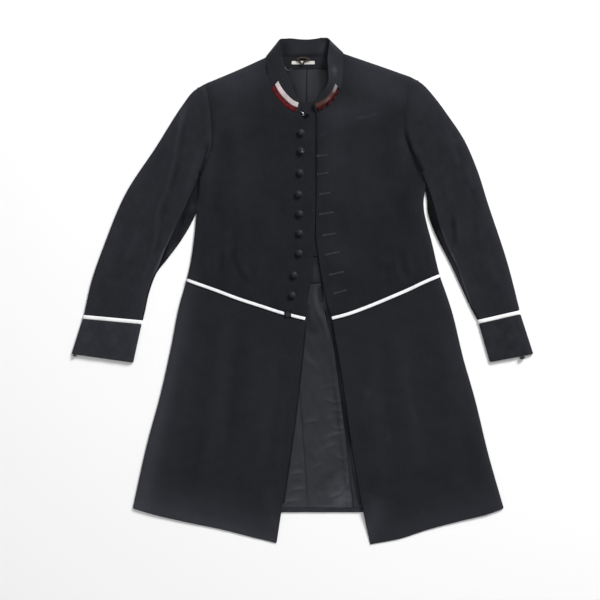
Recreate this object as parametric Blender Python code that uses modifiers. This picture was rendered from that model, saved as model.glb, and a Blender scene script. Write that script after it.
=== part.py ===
"""A knee-length military dress coat laid flat on its back, front up and unbuttoned.

Every maker's piece is its own solid: the two-part fronts and backs, the two-piece sleeves, cuffs,
stand collar, white piping, covered buttons, the inner pieces that show and the collar's stripes.
Left and right are as seen from above with the collar at the top (+Y). The floor is z = 0.
Tables and sizes are in millimetres from the coat's middle; the meshes are in metres.
"""

import math

import bmesh
import bpy
import numpy as np

MM = 0.001

# Driving dimensions
SEAM = 0.3  # gap between pieces that are sewn together
FRONT_WALL = 3.0  # wool, canvas and lining of the fronts and top sleeves
BACK_WALL = 2.6  # wool and lining of the backs and under sleeves
LINING_WALL = 1.0
LAID_HEIGHT = 8.2  # top face of the upper layer where it lies flat
EDGE_HEIGHT = 3.0  # where a fold's rounded edge meets its upright side
FOLD_ROUND = 15.0  # how far in from a fold its edge rounds over
NECK_LIFT = 3.6  # how much higher the fold's edge stands beside the collar
NECK_LIFT_REACH = 32.0
BACK_CLEAR = FRONT_WALL + 3 * SEAM  # how far the backs stop short of the coat's folds
PIPING_WIDTH = 8.6
PIPING_RISE = 1.0
CUFF_PIPING_WIDTH = 9.0
BUTTON_RADIUS = 7.6
BUTTON_HEIGHT = 9.0
STRIPE_WALL = 0.9
STRIPE_WIDTH = {"left": 9.5, "right": 8.0}
STRIPE_FOOT = 1.5  # from the collar's seam
STRIPE_COLUMNS = {"left": 4, "right": 5}  # how many of the collar's columns each stripe runs over
STRIPE_START = 0.25  # share of the first and of the last gap between those columns
STRIPE_END = {"left": 0.9, "right": 0.25}

# Seams and edges seen from above, smooth through (x, y) points. Each pair starts with the left one.
SHOULDER = {
    "left": [(-78, 503), (-143, 474), (-210, 446)],
    "right": [(88, 511), (156, 488), (233, 461)],
}
SLEEVE_OUTER = {
    "left": [
        (-210, 446), (-238, 427), (-257, 402), (-315, 311), (-382, 208), (-425, 105), (-455, 19),
        (-471, -52),
    ],
    "right": [
        (233, 461), (260, 444), (283, 419), (315, 376), (347, 328), (377, 260), (399, 191),
        (444, 53), (468, -41),
    ],
}
SLEEVE_INNER = {
    "left": [(-229, 165), (-242, 139), (-263, 105), (-289, 70), (-315, 36), (-328, 2), (-342, -63)],
    "right": [
        (264.5, 213), (268, 194), (269, 172), (278, 140), (294, 104), (312, 70), (336, 19),
        (360, -33), (375, -63),
    ],
}
# Seam of the top sleeve with the under sleeve, rolled over the inner fold onto the upper face
SLEEVE_SEAM = {
    "left": [(-223, 249), (-242, 204), (-276, 131), (-303, 79), (-322, 36), (-334, 2), (-348, -63)],
    "right": [(255, 258), (275, 207), (293, 148), (314, 92), (336, 55), (351, 10), (381, -63)],
}
ARMHOLE_UPPER = {
    "left": [(-223, 249), (-210, 275), (-197, 313), (-197, 367), (-203, 417), (-210, 446)],
    "right": [(255, 258), (244, 281), (227, 313), (220, 337), (221, 389), (227, 427), (233, 461)],
}
ARMHOLE_LOWER = {
    "left": [(-229, 165), (-228, 207), (-223, 249)],
    "right": [(264.5, 213), (262, 235), (255, 258)],
}
SIDE = {
    "left": [(-250, 24), (-243, 53), (-235, 105), (-229, 165)],
    "right": [
        (296, 33), (291, 53), (279, 105), (268, 146), (262.5, 172), (261.5, 194), (264.5, 213),
    ],
}
SKIRT_SIDE = {
    "left": [(-366, -468), (-334, -325), (-306, -222), (-283, -119), (-266, -33), (-250, 24)],
    "right": [(434, -468), (403, -360), (369, -222), (349, -153), (319, -33), (296, 33)],
}
SKIRT_HEM = {
    "left": [(-366, -468), (-326, -480), (-255, -497), (-173, -514), (-102, -532), (-56, -543)],
    "right": [(434, -468), (401, -480), (334, -497), (270, -514), (216, -532), (146, -546)],
}
SKIRT_EDGE = {
    "left": [(-56, -543), (-46, -476), (-36, -407), (-18, -278), (-3, -149), (6, -60)],
    "right": [(146, -546), (132, -480), (119, -415), (104, -321), (92, -235), (80, -157), (63, -59)],
}
WAIST = {
    "left": [(-250, 24), (-234, 18), (-186, 1), (-141, -16), (-89, -33), (-42, -48), (6, -60)],
    "right": [(296, 33), (263, 19), (227, 2), (185, -16), (144, -33), (94, -51), (63, -59)],
}
FRONT_EDGE = {
    "left": [(6, -60), (13, -9), (18, 21), (22, 70), (26, 131), (27, 238), (27, 383)],
    "right": [
        (63, -59), (51, -20), (42, 23), (34, 75), (29, 113), (29, 152), (30, 217), (30, 303),
        (30, 383),
    ],
}
# Seam of the collar with the front, from the collar's front end to the side of the neck
NECK_FRONT = {
    "left": [(-6, 381), (-22, 386), (-42, 401), (-61, 424), (-73, 455), (-78, 503)],
    "right": [(30, 383), (52, 394), (71, 413), (83, 438), (87, 468), (88, 511)],
}
NECK_BACK = [(-78, 503), (-42, 494), (5, 490), (53, 496), (88, 511)]
CUFF_END = {"left": [(-498, -136), (-363, -155)], "right": [(498, -136), (402, -154)]}
CUFF_PIPING = {"left": [(-473, -56), (-344, -68)], "right": [(469, -46), (377, -67)]}
BACK_HEM = [(-366, -467), (-46, -476.5), (132, -476.5), (434, -467)]
CENTRE_BACK = 9.0  # where the two backs meet
BACK_SEAM_HEIGHT = 10.0  # y of the seam between each back and its skirt

# The collar's free edge, seen from above, from the same ends as its seam
COLLAR_TOP_FRONT = {
    "left": [(-5, 400), (-14, 420), (-25, 446), (-31, 466), (-37, 487), (-43, 508), (-50, 531)],
    "right": [(25, 401), (34, 413), (50, 434), (56, 455), (52, 479), (53, 502), (59, 533)],
}
COLLAR_TOP_BACK = [(-45, 541), (-24, 542), (6, 540), (30, 542), (53, 544)]
# Height of the collar's free edge: share from front end to side of neck, height
COLLAR_RISE = {
    "left": [(0.0, 11.0), (0.3, 15.0), (0.7, 18.0), (1.0, 15.0)],
    "right": [(0.0, 14.0), (0.3, 25.0), (0.7, 30.0), (1.0, 20.0)],
}

# Soft rises (and falls, where the height is negative) of the upper layer, along lines on it
SWELLS = [
    # from x, y, to x, y, half width, height
    (-252, 396, -292, 190, 22, 2.2),  # sleeve crease below the left cap
    (-292, 190, -334, 60, 20, 1.8),
    (-380, 130, -420, 10, 30, 1.2),
    (316, 160, 326, 80, 16, 2.0),  # folds inside the right elbow
    (366, 140, 372, 70, 18, 1.6),
    (300, 350, 352, 210, 30, 1.4),
    (-120, 330, -150, 150, 55, 1.6),  # chest
    (130, 340, 150, 150, 55, 1.6),
    (-210, 240, -170, 120, 26, -0.8),
    (-170, -60, -230, -400, 40, 1.8),  # flutes of the skirt
    (-70, -120, -120, -430, 34, 1.4),
    (200, -70, 250, -400, 42, 1.8),
    (300, -60, 350, -380, 30, 1.2),
]
# Where the collar turns from each front to the back: seam x, y, z, then free edge x, y, z
COLLAR_TURN = {
    "left": [(-78.2, 505.0, 3.6, -52.5, 539.0, 9.0), (-76.0, 505.4, 0.6, -50.0, 541.5, 3.5)],
    "right": [(87.4, 513.0, 3.6, 60.5, 541.0, 12.0), (85.4, 513.4, 0.6, 58.0, 544.5, 4.0)],
}
COLLAR_BACK_SHARES = [0.06, 0.22, 0.4, 0.6, 0.78, 0.94]
COLLAR_BACK_CURL = [0.6, 0.4, 0.0, 0.0, 0.4, 0.6]  # height of the free edge at those shares

EDGE_LIFT = {"left": 1.6, "right": 4.0}  # how far each skirt's front edge curls up
EDGE_LIFT_WIDTH = 45.0

# Lining and other inner pieces: rows of height y, then x at each seam
NECK_LINING = [
    # y, left side, centre seam, right side
    (477, -66, 9, 84),
    (420, -58, 9, 80),
    (372, -30, 8, 60),
    (250, -14, 8, 52),
    (75, -12, 8, 62),
]
NECK_FACING = [(491, -40, 58), (478, -62, 80)]
WAIST_STAY = [(73.5, -14, 66), (17, -16, 72)]
SKIRT_LINING = [
    # y, left side, left seam, pleat edge, right side
    (15.5, -24, -18, 40, 76),
    (-46, -26, -16, 48, 84),
    (-119, -30, -12, 67, 100),
    (-235, -42, -5, 83, 116),
    (-330, -54, 2, 95, 130),
    (-415, -64, 8, 104, 140),
    (-466, -72, 11, 109, 148),
]
FACING_WIDTH = 22.0
FACING_WALL = 0.6
FACING_SHOWS = 5.0  # how far a skirt facing reaches past its front's edge
FACING_DROP = 0.25  # how far it hangs below its front

BUTTONS = [(-3, 340), (-3, 301), (-5, 254), (-8, 208), (-6, 166), (-6, 124), (-7, 81), (-18, 34), (-22, -9)]

# Colours as base colour, roughness and metallic
COLOURS = {
    "wool": ((0.020, 0.021, 0.026), 0.95, 0.0),
    "wool_inside": ((0.028, 0.028, 0.033), 0.9, 0.0),
    "lining": ((0.040, 0.040, 0.048), 0.5, 0.0),
    "white_cord": ((0.85, 0.85, 0.85), 0.8, 0.0),
    "red_cloth": ((0.20, 0.02, 0.025), 0.9, 0.0),
    "tan_cloth": ((0.36, 0.22, 0.15), 0.9, 0.0),
    "brown_cord": ((0.20, 0.09, 0.04), 0.7, 0.0),
    "steel": ((0.55, 0.55, 0.56), 0.35, 1.0),
}


def clear_scene():
    for obj in list(bpy.data.objects):
        bpy.data.objects.remove(obj)


def material(name):
    found = bpy.data.materials.get(name)
    if found:
        return found
    colour, roughness, metallic = COLOURS[name]
    made = bpy.data.materials.new(name)
    made.use_nodes = True
    shader = made.node_tree.nodes["Principled BSDF"]
    shader.inputs["Base Color"].default_value = (*colour, 1)
    shader.inputs["Roughness"].default_value = roughness
    shader.inputs["Metallic"].default_value = metallic
    made.diffuse_color = (*colour, 1)
    return made


def smooth_line(points, shares):
    """Points at the given shares of the length of a smooth line (Catmull-Rom) through the given ones."""
    points = np.array(points, float)
    at = np.concatenate([[0], np.cumsum(np.linalg.norm(np.diff(points, axis=0), axis=1))])
    slope = np.gradient(points, at, axis=0)
    along = np.linspace(0, at[-1], 30 * (len(points) - 1) + 1)
    i = np.clip(np.searchsorted(at, along, side="right") - 1, 0, len(points) - 2)
    step = at[i + 1] - at[i]
    t = ((along - at[i]) / step)[:, None]
    step = step[:, None]
    line = (
        (2 * t**3 - 3 * t**2 + 1) * points[i]
        + (t**3 - 2 * t**2 + t) * step * slope[i]
        + (3 * t**2 - 2 * t**3) * points[i + 1]
        + (t**3 - t**2) * step * slope[i + 1]
    )
    run = np.concatenate([[0], np.cumsum(np.linalg.norm(np.diff(line, axis=0), axis=1))])
    wanted = np.array(shares) * run[-1]
    return np.stack([np.interp(wanted, run, line[:, k]) for k in range(line.shape[1])], axis=1)


def even(count):
    return np.linspace(0, 1, count)


def shifted(line, distance):
    """The line moved sideways, to the left of its direction where the distance is positive."""
    along = np.gradient(line, axis=0)
    along /= np.linalg.norm(along, axis=1)[:, None]
    return line + distance * np.stack([-along[:, 1], along[:, 0]], axis=1)


def patch(left, right, bottom, top, u, v):
    """A Coons patch: rows from bottom to top at shares v, columns from left to right at shares u."""
    u = np.array(u)[None, :, None]
    v = np.array(v)[:, None, None]
    sides = (1 - u) * left[:, None] + u * right[:, None]
    ends = (1 - v) * bottom[None] + v * top[None]
    corners = (1 - v) * ((1 - u) * bottom[0] + u * bottom[-1]) + v * ((1 - u) * top[0] + u * top[-1])
    return sides + ends - corners


def eased(grid):
    """The grid with its border drawn in by half a seam's gap."""
    out = grid.copy()
    for edge, inner in ((0, 1), (-1, -2)):
        for turned, source in ((out, grid), (out.swapaxes(0, 1), grid.swapaxes(0, 1))):
            step = source[inner] - source[edge]
            turned[edge] += SEAM / 2 * step / np.linalg.norm(step, axis=1)[:, None]
    return out


def cuff_lines(side):
    """The two edges of the cuff's piping, each as (outer fold, inner fold) points."""
    middle = np.array(CUFF_PIPING[side], float)
    away = np.array(CUFF_END[side], float).mean(axis=0) - middle.mean(axis=0)
    half = CUFF_PIPING_WIDTH / 2 * away / np.linalg.norm(away)
    return middle - half, middle + half


def fold_lines():
    """The coat's folded outline, as dense lines: where its upper layer turns down to the floor."""
    lines = []
    for side in ("left", "right"):
        piping = cuff_lines(side)
        outer = [smooth_line(SHOULDER[side], even(12)), smooth_line(SLEEVE_OUTER[side], even(60))[:-1]]
        outer += [np.array([piping[0][0], piping[1][0], CUFF_END[side][0]], float)]
        inner = [np.array([CUFF_END[side][1], piping[1][1], piping[0][1]], float)]
        inner.append(smooth_line(SLEEVE_INNER[side], even(50))[-2::-1])
        inner += [smooth_line(SIDE[side], even(20))[::-1], smooth_line(SKIRT_SIDE[side], even(40))[::-1]]
        lines += [np.concatenate(outer), np.concatenate(inner)]
    return lines


FOLDS = fold_lines()


def distance_to_lines(points, lines):
    """Distance from each (x, y) point to the nearest of the lines."""
    starts = np.concatenate([line[:-1] for line in lines])
    steps = np.concatenate([np.diff(line, axis=0) for line in lines])
    kept = (steps**2).sum(axis=1) > 0
    starts, steps = starts[kept], steps[kept]
    flat = points.reshape(-1, 1, 2)
    share = ((flat - starts) * steps).sum(axis=2) / (steps**2).sum(axis=1)
    nearest = starts + np.clip(share, 0, 1)[..., None] * steps
    return np.linalg.norm(flat - nearest, axis=2).min(axis=1).reshape(points.shape[:-1])


def soft_step(value):
    value = np.clip(value, 0, 1)
    return value * value * (3 - 2 * value)


def cloth_height(points):
    """Height of the upper layer's outer face: flat, rounded down at the folds, with soft swells, and
    lower past the back's hem, where it lies on the floor."""
    inward = distance_to_lines(points, FOLDS)
    share = np.clip(inward / FOLD_ROUND, 0, 1)
    edge = EDGE_HEIGHT
    for side in ("left", "right"):
        off = np.linalg.norm(points - np.array(SHOULDER[side][0], float), axis=-1)
        edge = edge + NECK_LIFT * np.exp(-((off / NECK_LIFT_REACH) ** 2))
    height = edge + (LAID_HEIGHT - edge) * np.sqrt(1 - (1 - share) ** 2)
    inside = soft_step(inward / 40)
    for x1, y1, x2, y2, width, rise in SWELLS:
        off = distance_to_lines(points, [np.array([(x1, y1), (x2, y2)], float)])
        height = height + inside * rise * np.exp(-((off / width) ** 2))
    for side, lift in EDGE_LIFT.items():
        off = distance_to_lines(points, [smooth_line(SKIRT_EDGE[side], even(30))])
        below_waist = soft_step((-60 - points[..., 1]) / 120)
        height = height + lift * below_waist * soft_step(1 - off / EDGE_LIFT_WIDTH)
    hem = np.array(BACK_HEM, float)
    below = np.interp(points[..., 0], hem[:, 0], hem[:, 1]) - points[..., 1]
    fall = soft_step((below - 4) / 28)
    return (1 - fall) * height + fall * np.minimum(height, FRONT_WALL)


def on_cloth(points, rise=0.0):
    """The (x, y) points set on the upper layer's outer face, and raised above it."""
    return np.concatenate([points, (cloth_height(points) + rise)[..., None]], axis=-1)


def at_height(points, height):
    return np.concatenate([points, np.full(points.shape[:-1] + (1,), float(height))], axis=-1)


def finish(obj, colour):
    COAT.objects.link(obj)
    obj.parent = PLACE
    obj.data.materials.append(material(colour))
    return obj


def sheet(name, grid, wall, colour, keep=None, closed=False, turn_down=False):
    """Cloth of the given wall whose outer face follows the grid; its faces' front is the outer side.

    keep masks the grid's cells. A closed grid joins its last column to its first. turn_down carries
    the border that runs along the coat's folds straight down to the floor."""
    rows, columns = grid.shape[:2]
    mesh = bpy.data.meshes.new(name)
    shape = bmesh.new()
    points = [[shape.verts.new(grid[r, c] * MM) for c in range(columns)] for r in range(rows)]
    for r in range(rows - 1):
        for c in range(columns if closed else columns - 1):
            if keep is None or keep[r, c]:
                n = (c + 1) % columns
                shape.faces.new((points[r][c], points[r][n], points[r + 1][n], points[r + 1][c]))
    bmesh.ops.delete(shape, geom=[v for v in shape.verts if not v.link_faces], context="VERTS")
    if turn_down:
        on_fold = {
            v
            for v in shape.verts
            if v.is_boundary and distance_to_lines(np.array([v.co[:2]]) / MM, FOLDS)[0] < 2 * SEAM
        }
        border = [e for e in shape.edges if e.is_boundary and all(v in on_fold for v in e.verts)]
        lowered = bmesh.ops.extrude_edge_only(shape, edges=border)["geom"]
        for vert in lowered:
            if isinstance(vert, bmesh.types.BMVert):
                vert.co.z = 0
    shape.to_mesh(mesh)
    shape.free()
    obj = finish(bpy.data.objects.new(name, mesh), colour)
    solidify = obj.modifiers.new("wall", "SOLIDIFY")
    solidify.thickness = wall * MM
    solidify.offset = -1
    mesh.shade_smooth()
    mesh.set_sharp_from_angle(angle=math.radians(40))
    return obj


def facing_up(grid, side):
    """Right-hand pieces are worked out from the side seam inwards, so their columns run backwards."""
    return grid if side == "left" else grid[:, ::-1]


# Shares of the way across and up, closer together where the cloth rounds over
ACROSS_FRONT = [0, 0.006, 0.025, 0.06, 0.13, 0.22, 0.32, 0.42, 0.52, 0.6, 0.68, 0.76, 0.84, 0.92, 1]
SHOULDER_COLUMNS = 8  # how many of these end on the shoulder
UP_LOWER_ARMHOLE = [0, 0.12, 0.4, 1]
UP_UPPER_ARMHOLE = [0, 0.14, 0.3, 0.46, 0.62, 0.78, 0.9, 0.965, 1]
ACROSS_SLEEVE = [0, 0.05, 0.12, 0.25, 0.4, 0.55, 0.7, 0.82, 0.91, 0.97, 1]
DOWN_SLEEVE = even(11)
DOWN_CAP = 1 - np.array(UP_UPPER_ARMHOLE)[::-1]
OUTER_START = 0.03  # shares of the sleeve's outer fold where the cap's rows start and end
OUTER_SPLIT = 0.39
UNDER_SPLIT = 0.44  # the same for the under sleeve, whose inner fold starts lower
SEAM_INSET = 7.0  # how far the sleeve's seam lies from its inner fold at the cuff
TIP_CLEAR = 0.6  # further gaps where three folds meet at the shoulder's tip and at the armpit
ARMPIT_CLEAR = 0.5
CUFF_CLEAR = 0.2
ROLL_CLEAR = 1.1  # where the under sleeve's rolled edge leans under the top sleeve


def waist_line(side, offset):
    """The waist seam's line from side to front edge, moved up by the offset."""
    line = smooth_line(WAIST[side], ACROSS_FRONT)
    return shifted(line, offset if side == "left" else -offset)


def side_and_armhole(side):
    lower = smooth_line(SIDE[side], even(6))
    lower[0] = waist_line(side, PIPING_WIDTH / 2)[0]
    armhole = smooth_line(ARMHOLE_LOWER[side], UP_LOWER_ARMHOLE)
    cap = smooth_line(ARMHOLE_UPPER[side], UP_UPPER_ARMHOLE)
    return np.concatenate([lower, armhole[1:], cap[1:]])


def collar_shares(side):
    """Shares along the collar's seam on a front, where that front has its own columns."""
    seam_columns = np.array(ACROSS_FRONT[SHOULDER_COLUMNS - 1 : -1 if side == "left" else None])
    return (seam_columns[-1] - seam_columns[::-1]) / (seam_columns[-1] - seam_columns[0])


def front_bodice(side):
    across = np.array(ACROSS_FRONT)
    last = SHOULDER_COLUMNS - 1
    shoulder = smooth_line(SHOULDER[side][::-1], across[: last + 1] / across[last])
    neck = smooth_line(NECK_FRONT[side], collar_shares(side))[::-1]
    top = [shoulder, neck[1:]]
    if side == "left":
        top.append(np.array([FRONT_EDGE[side][-1]], float))
    top = np.concatenate(top)
    outer = side_and_armhole(side)
    up = np.concatenate([[0], np.cumsum(np.linalg.norm(np.diff(outer, axis=0), axis=1))])
    up /= up[-1]
    edge = smooth_line(FRONT_EDGE[side], up)
    bottom = waist_line(side, PIPING_WIDTH / 2)
    edge[0] = bottom[-1]
    grid = eased(patch(outer, edge, bottom, top, across, up))
    sheet(f"front_bodice_{side}", facing_up(on_cloth(grid), side), FRONT_WALL, "wool", turn_down=True)


def front_skirt(side):
    up = even(15)
    outer = smooth_line(SKIRT_SIDE[side], up)
    edge = smooth_line(SKIRT_EDGE[side], up)
    top = waist_line(side, -PIPING_WIDTH / 2)
    outer[-1], edge[-1] = top[0], top[-1]
    bottom = smooth_line(SKIRT_HEM[side], ACROSS_FRONT)
    grid = eased(patch(outer, edge, bottom, top, ACROSS_FRONT, up))
    sheet(f"front_skirt_{side}", facing_up(on_cloth(grid), side), FRONT_WALL, "wool", turn_down=True)


def waist_piping(side):
    offsets = [-PIPING_WIDTH / 2, -PIPING_WIDTH / 5, PIPING_WIDTH / 5, PIPING_WIDTH / 2]
    grid = eased(np.stack([waist_line(side, offset) for offset in offsets]))
    crown = np.array([0.0, PIPING_RISE, PIPING_RISE, 0.0])[:, None] + 0 * grid[..., 0]
    grid = on_cloth(grid, crown)
    name = f"waist_piping_{side}"
    sheet(name, facing_up(grid, side), FRONT_WALL, "white_cord", turn_down=True)


def piping_loop():
    """A dark keeper of cloth that crosses the left piping near the front edge."""
    x = np.linspace(-38, -28, 3)
    y = np.array([-58, -53, -47, -42, -38])
    grid = np.stack(np.meshgrid(x, y), axis=-1)
    grid = on_cloth(grid, PIPING_RISE + 0.6 + 1.0)
    sheet("piping_loop", grid, 1.0, "wool")


def sleeve_rows(side):
    """(seam side, outer fold) points of each row across the top sleeve, from the cap's tip down."""
    cap = smooth_line(ARMHOLE_UPPER[side][::-1], DOWN_CAP)
    seam = smooth_line(SLEEVE_SEAM[side], DOWN_SLEEVE)
    beside_cap = OUTER_START + (OUTER_SPLIT - OUTER_START) * DOWN_CAP
    beside_seam = OUTER_SPLIT + (1 - OUTER_SPLIT) * DOWN_SLEEVE[1:]
    outer = smooth_line(SLEEVE_OUTER[side], np.concatenate([beside_cap, beside_seam]))
    outer[-1], inner_end = cuff_lines(side)[0]
    seam[-1] = inner_end + SEAM_INSET * (outer[-1] - inner_end) / np.linalg.norm(outer[-1] - inner_end)
    return np.concatenate([cap, seam[1:]]), outer


def sleeve_top(side):
    seam, outer = sleeve_rows(side)
    across = np.array(ACROSS_SLEEVE)[None, :, None]
    grid = eased((1 - across) * seam[:, None] + across * outer[:, None])
    for row, beside, gap in ((0, 1, TIP_CLEAR), (-1, -2, CUFF_CLEAR)):
        step = grid[beside] - grid[row]
        grid[row] += gap * step / np.linalg.norm(step, axis=1)[:, None]
    grid = facing_up(on_cloth(grid), side)[::-1, ::-1]
    sheet(f"sleeve_top_{side}", grid, FRONT_WALL, "wool", turn_down=True)


def sleeve_under(side):
    """The sleeve's lower layer, which also rolls up over the inner fold to the seam on top."""
    cap = smooth_line(ARMHOLE_UPPER[side][::-1], DOWN_CAP)
    outer_shares = OUTER_START + (OUTER_SPLIT - OUTER_START) * DOWN_CAP
    outer_shares = np.concatenate([outer_shares, UNDER_SPLIT + (1 - UNDER_SPLIT) * DOWN_SLEEVE])
    outer = smooth_line(SLEEVE_OUTER[side], outer_shares)
    inner = smooth_line(SLEEVE_INNER[side], DOWN_SLEEVE)
    fold_end, inner[-1] = cuff_lines(side)[0]
    seam = sleeve_rows(side)[0][len(cap) - 1 :]
    low = np.concatenate([cap, inner])
    outer = shifted(outer, BACK_CLEAR if side == "left" else -BACK_CLEAR)
    outer[-1] = fold_end + BACK_CLEAR * (inner[-1] - fold_end) / np.linalg.norm(inner[-1] - fold_end)
    reach = outer - low
    low[: len(cap)] += (SEAM / 2 * reach / np.linalg.norm(reach, axis=1)[:, None])[: len(cap)]
    shares = np.array(UP_LOWER_ARMHOLE)[None, :, None]
    roll = (1 - shares) * inner[:, None] + shares * seam[:, None]
    roll[0] = smooth_line(ARMHOLE_LOWER[side], UP_LOWER_ARMHOLE)
    back = roll[:, 0] - roll[:, -1]
    roll[:, -1] += (SEAM / 2 + ROLL_CLEAR) * back / np.linalg.norm(back, axis=1)[:, None]
    for row, beside, gap in ((0, 1, ARMPIT_CLEAR), (-1, -2, SEAM / 2)):
        step = roll[beside] - roll[row]
        roll[row] += gap * step / np.linalg.norm(step, axis=1)[:, None]
    low[len(cap) :] = roll[:, 0]
    outer[-1] += SEAM / 2 * (outer[-2] - outer[-1]) / np.linalg.norm(outer[-2] - outer[-1])
    flat = at_height(np.stack([outer, (outer + low) / 2, low], axis=1), 0)
    above = np.repeat(flat[: len(cap), 2:], len(UP_LOWER_ARMHOLE), axis=1)
    grid = np.concatenate([flat, np.concatenate([above, on_cloth(roll)])], axis=1)[1:]
    keep = np.ones((len(grid) - 1, grid.shape[1] - 1), bool)
    keep[: len(cap) - 1, 2:] = False
    if side == "right":
        grid, keep = grid[::-1], keep[::-1]
    sheet(f"sleeve_under_{side}", grid, BACK_WALL, "wool", keep=keep)


def cuff_band(name, side, lines, wall, colour, rise):
    """A flattened band right round the sleeve. Its upper half lies on the cloth's height plus the
    rise, and its lower half on the floor."""
    upper = np.array([0, 0.03, 0.08, 0.2, 0.4, 0.6, 0.8, 0.92, 0.97, 1])[None, :, None]
    lower = np.array([1, 0.7, 0.3, 0])[None, :, None]
    starts = np.array([line[0] for line in lines])[:, None]
    ends = np.array([line[1] for line in lines])[:, None]
    top = (1 - upper) * starts + upper * ends
    under = (1 - lower) * starts + lower * ends
    for part in (top, under):
        part[0] += SEAM / 2 * (part[1] - part[0]) / np.linalg.norm(part[1] - part[0], axis=1)[:, None]
        part[-1] += SEAM / 2 * (part[-2] - part[-1]) / np.linalg.norm(part[-2] - part[-1], axis=1)[:, None]
    grid = np.concatenate([on_cloth(top, rise), at_height(under, 0)], axis=1)
    grid = grid[::-1] if side == "left" else grid
    sheet(name, grid, wall, colour, closed=True)


def cuff(side):
    top, start = cuff_lines(side)
    end = np.array(CUFF_END[side], float)
    rows = [start + share * (end - start) for share in (0, 0.35, 0.7, 1)]
    cuff_band(f"cuff_{side}", side, rows, BACK_WALL, "wool", 0)
    rows = [top + share * (start - top) for share in (0, 0.3, 0.7, 1)]
    crown = PIPING_RISE * np.array([0.2, 1, 1, 0.2])[:, None]
    cuff_band(f"cuff_piping_{side}", side, rows, BACK_WALL, "white_cord", crown)


def back_bodice(side):
    sign = -1 if side == "left" else 1
    inset = sign * BACK_CLEAR
    outer = np.concatenate([smooth_line(SKIRT_SIDE[side], [0.97, 1]), smooth_line(SIDE[side], even(6)[1:])])
    outer = shifted(outer, inset)
    outer[0, 1] = BACK_SEAM_HEIGHT
    cap = smooth_line(ARMHOLE_UPPER[side], UP_UPPER_ARMHOLE)[:-1]
    shoulder = shifted(smooth_line(SHOULDER[side][::-1], [0.015, 0.5, 0.96]), inset)
    outer = np.concatenate([outer, cap, shoulder[:1]])
    middle = CENTRE_BACK
    neck = smooth_line(NECK_BACK, [0.2, 0.35, 0.5] if side == "left" else [0.8, 0.65, 0.5]) - [0, 3 * SEAM]
    neck[-1, 0] = middle
    top = np.concatenate([shoulder, neck])
    across = np.array([0, 0.25, 0.5, 0.7, 0.85, 1])
    up = (outer[:, 1] - outer[0, 1]) / (outer[-1, 1] - outer[0, 1])
    inner_y = BACK_SEAM_HEIGHT + up * (neck[-1, 1] - BACK_SEAM_HEIGHT)
    inner = np.stack([np.full(len(up), middle), inner_y], axis=1)
    bottom = np.stack([outer[0, 0] + across * (middle - outer[0, 0]), np.full(6, BACK_SEAM_HEIGHT)], axis=1)
    flat_back(f"back_bodice_{side}", patch(outer, inner, bottom, top, across, up), side)


def back_skirt(side):
    middle = CENTRE_BACK
    up = even(9)
    across = np.array([0, 0.35, 0.7, 1])
    hem = np.array(BACK_HEM, float)
    outer = shifted(smooth_line(SKIRT_SIDE[side], 0.97 * up), BACK_CLEAR * (-1 if side == "left" else 1))
    outer[0, 1] = np.interp(outer[0, 0], hem[:, 0], hem[:, 1])
    outer[-1, 1] = BACK_SEAM_HEIGHT
    inner = np.stack([np.full(9, middle), np.interp(up, [0, 1], [hem[1, 1], BACK_SEAM_HEIGHT])], axis=1)
    x = outer[0, 0] + across * (middle - outer[0, 0])
    bottom = np.stack([x, np.interp(x, hem[:, 0], hem[:, 1])], axis=1)
    top = np.stack([outer[-1, 0] + across * (middle - outer[-1, 0]), np.full(4, BACK_SEAM_HEIGHT)], axis=1)
    flat_back(f"back_skirt_{side}", patch(outer, inner, bottom, top, across, up), side)


def flat_back(name, grid, side):
    """A back piece flat on the floor; its outer face is the one underneath."""
    grid = eased(grid)
    sheet(name, at_height(grid[::-1] if side == "left" else grid, 0), BACK_WALL, "wool")


def inner_strip(name, rows, left, right, colour, wall=LINING_WALL, floor=BACK_WALL + SEAM):
    """A flat strip on the back's inside, between two columns of a table whose first column is y."""
    table = np.array(rows, float)
    steps = np.array([0, 0.5, 1])[None, :, None]
    lines = [np.stack([table[:, column], table[:, 0]], axis=1) for column in (left, right)]
    grid = (1 - steps) * lines[0][:, None] + steps * lines[1][:, None]
    sheet(name, at_height(eased(grid)[::-1], floor + wall), wall, colour)


def skirt_facing(side):
    """The turned-in edge of a front skirt, lying just under it and showing past its edge."""
    edge = smooth_line(SKIRT_EDGE[side], 0.18 + 0.8 * even(12))
    sign = -1 if side == "left" else 1
    shown = edge - [sign * FACING_SHOWS, 0]
    hidden = edge + [sign * FACING_WIDTH, 0]
    grid = np.stack([hidden, (hidden + shown) / 2, shown], axis=1)
    grid = on_cloth(grid, -FRONT_WALL - SEAM - FACING_DROP)
    grid[:, 2, 2] = grid[:, 1, 2]
    sheet(f"skirt_facing_{side}", facing_up(grid, side), FACING_WALL, "wool_inside")


def collar_half(side):
    """Seam and free-edge points of the collar on one front, from its front end to the side of the neck."""
    shares = collar_shares(side)
    seam = shifted(smooth_line(NECK_FRONT[side], shares), SEAM * (-1 if side == "left" else 1))
    free = smooth_line(COLLAR_TOP_FRONT[side], shares)
    rise = np.array(COLLAR_RISE[side])
    return on_cloth(seam), np.column_stack([free, np.interp(shares, rise[:, 0], rise[:, 1])])


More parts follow.
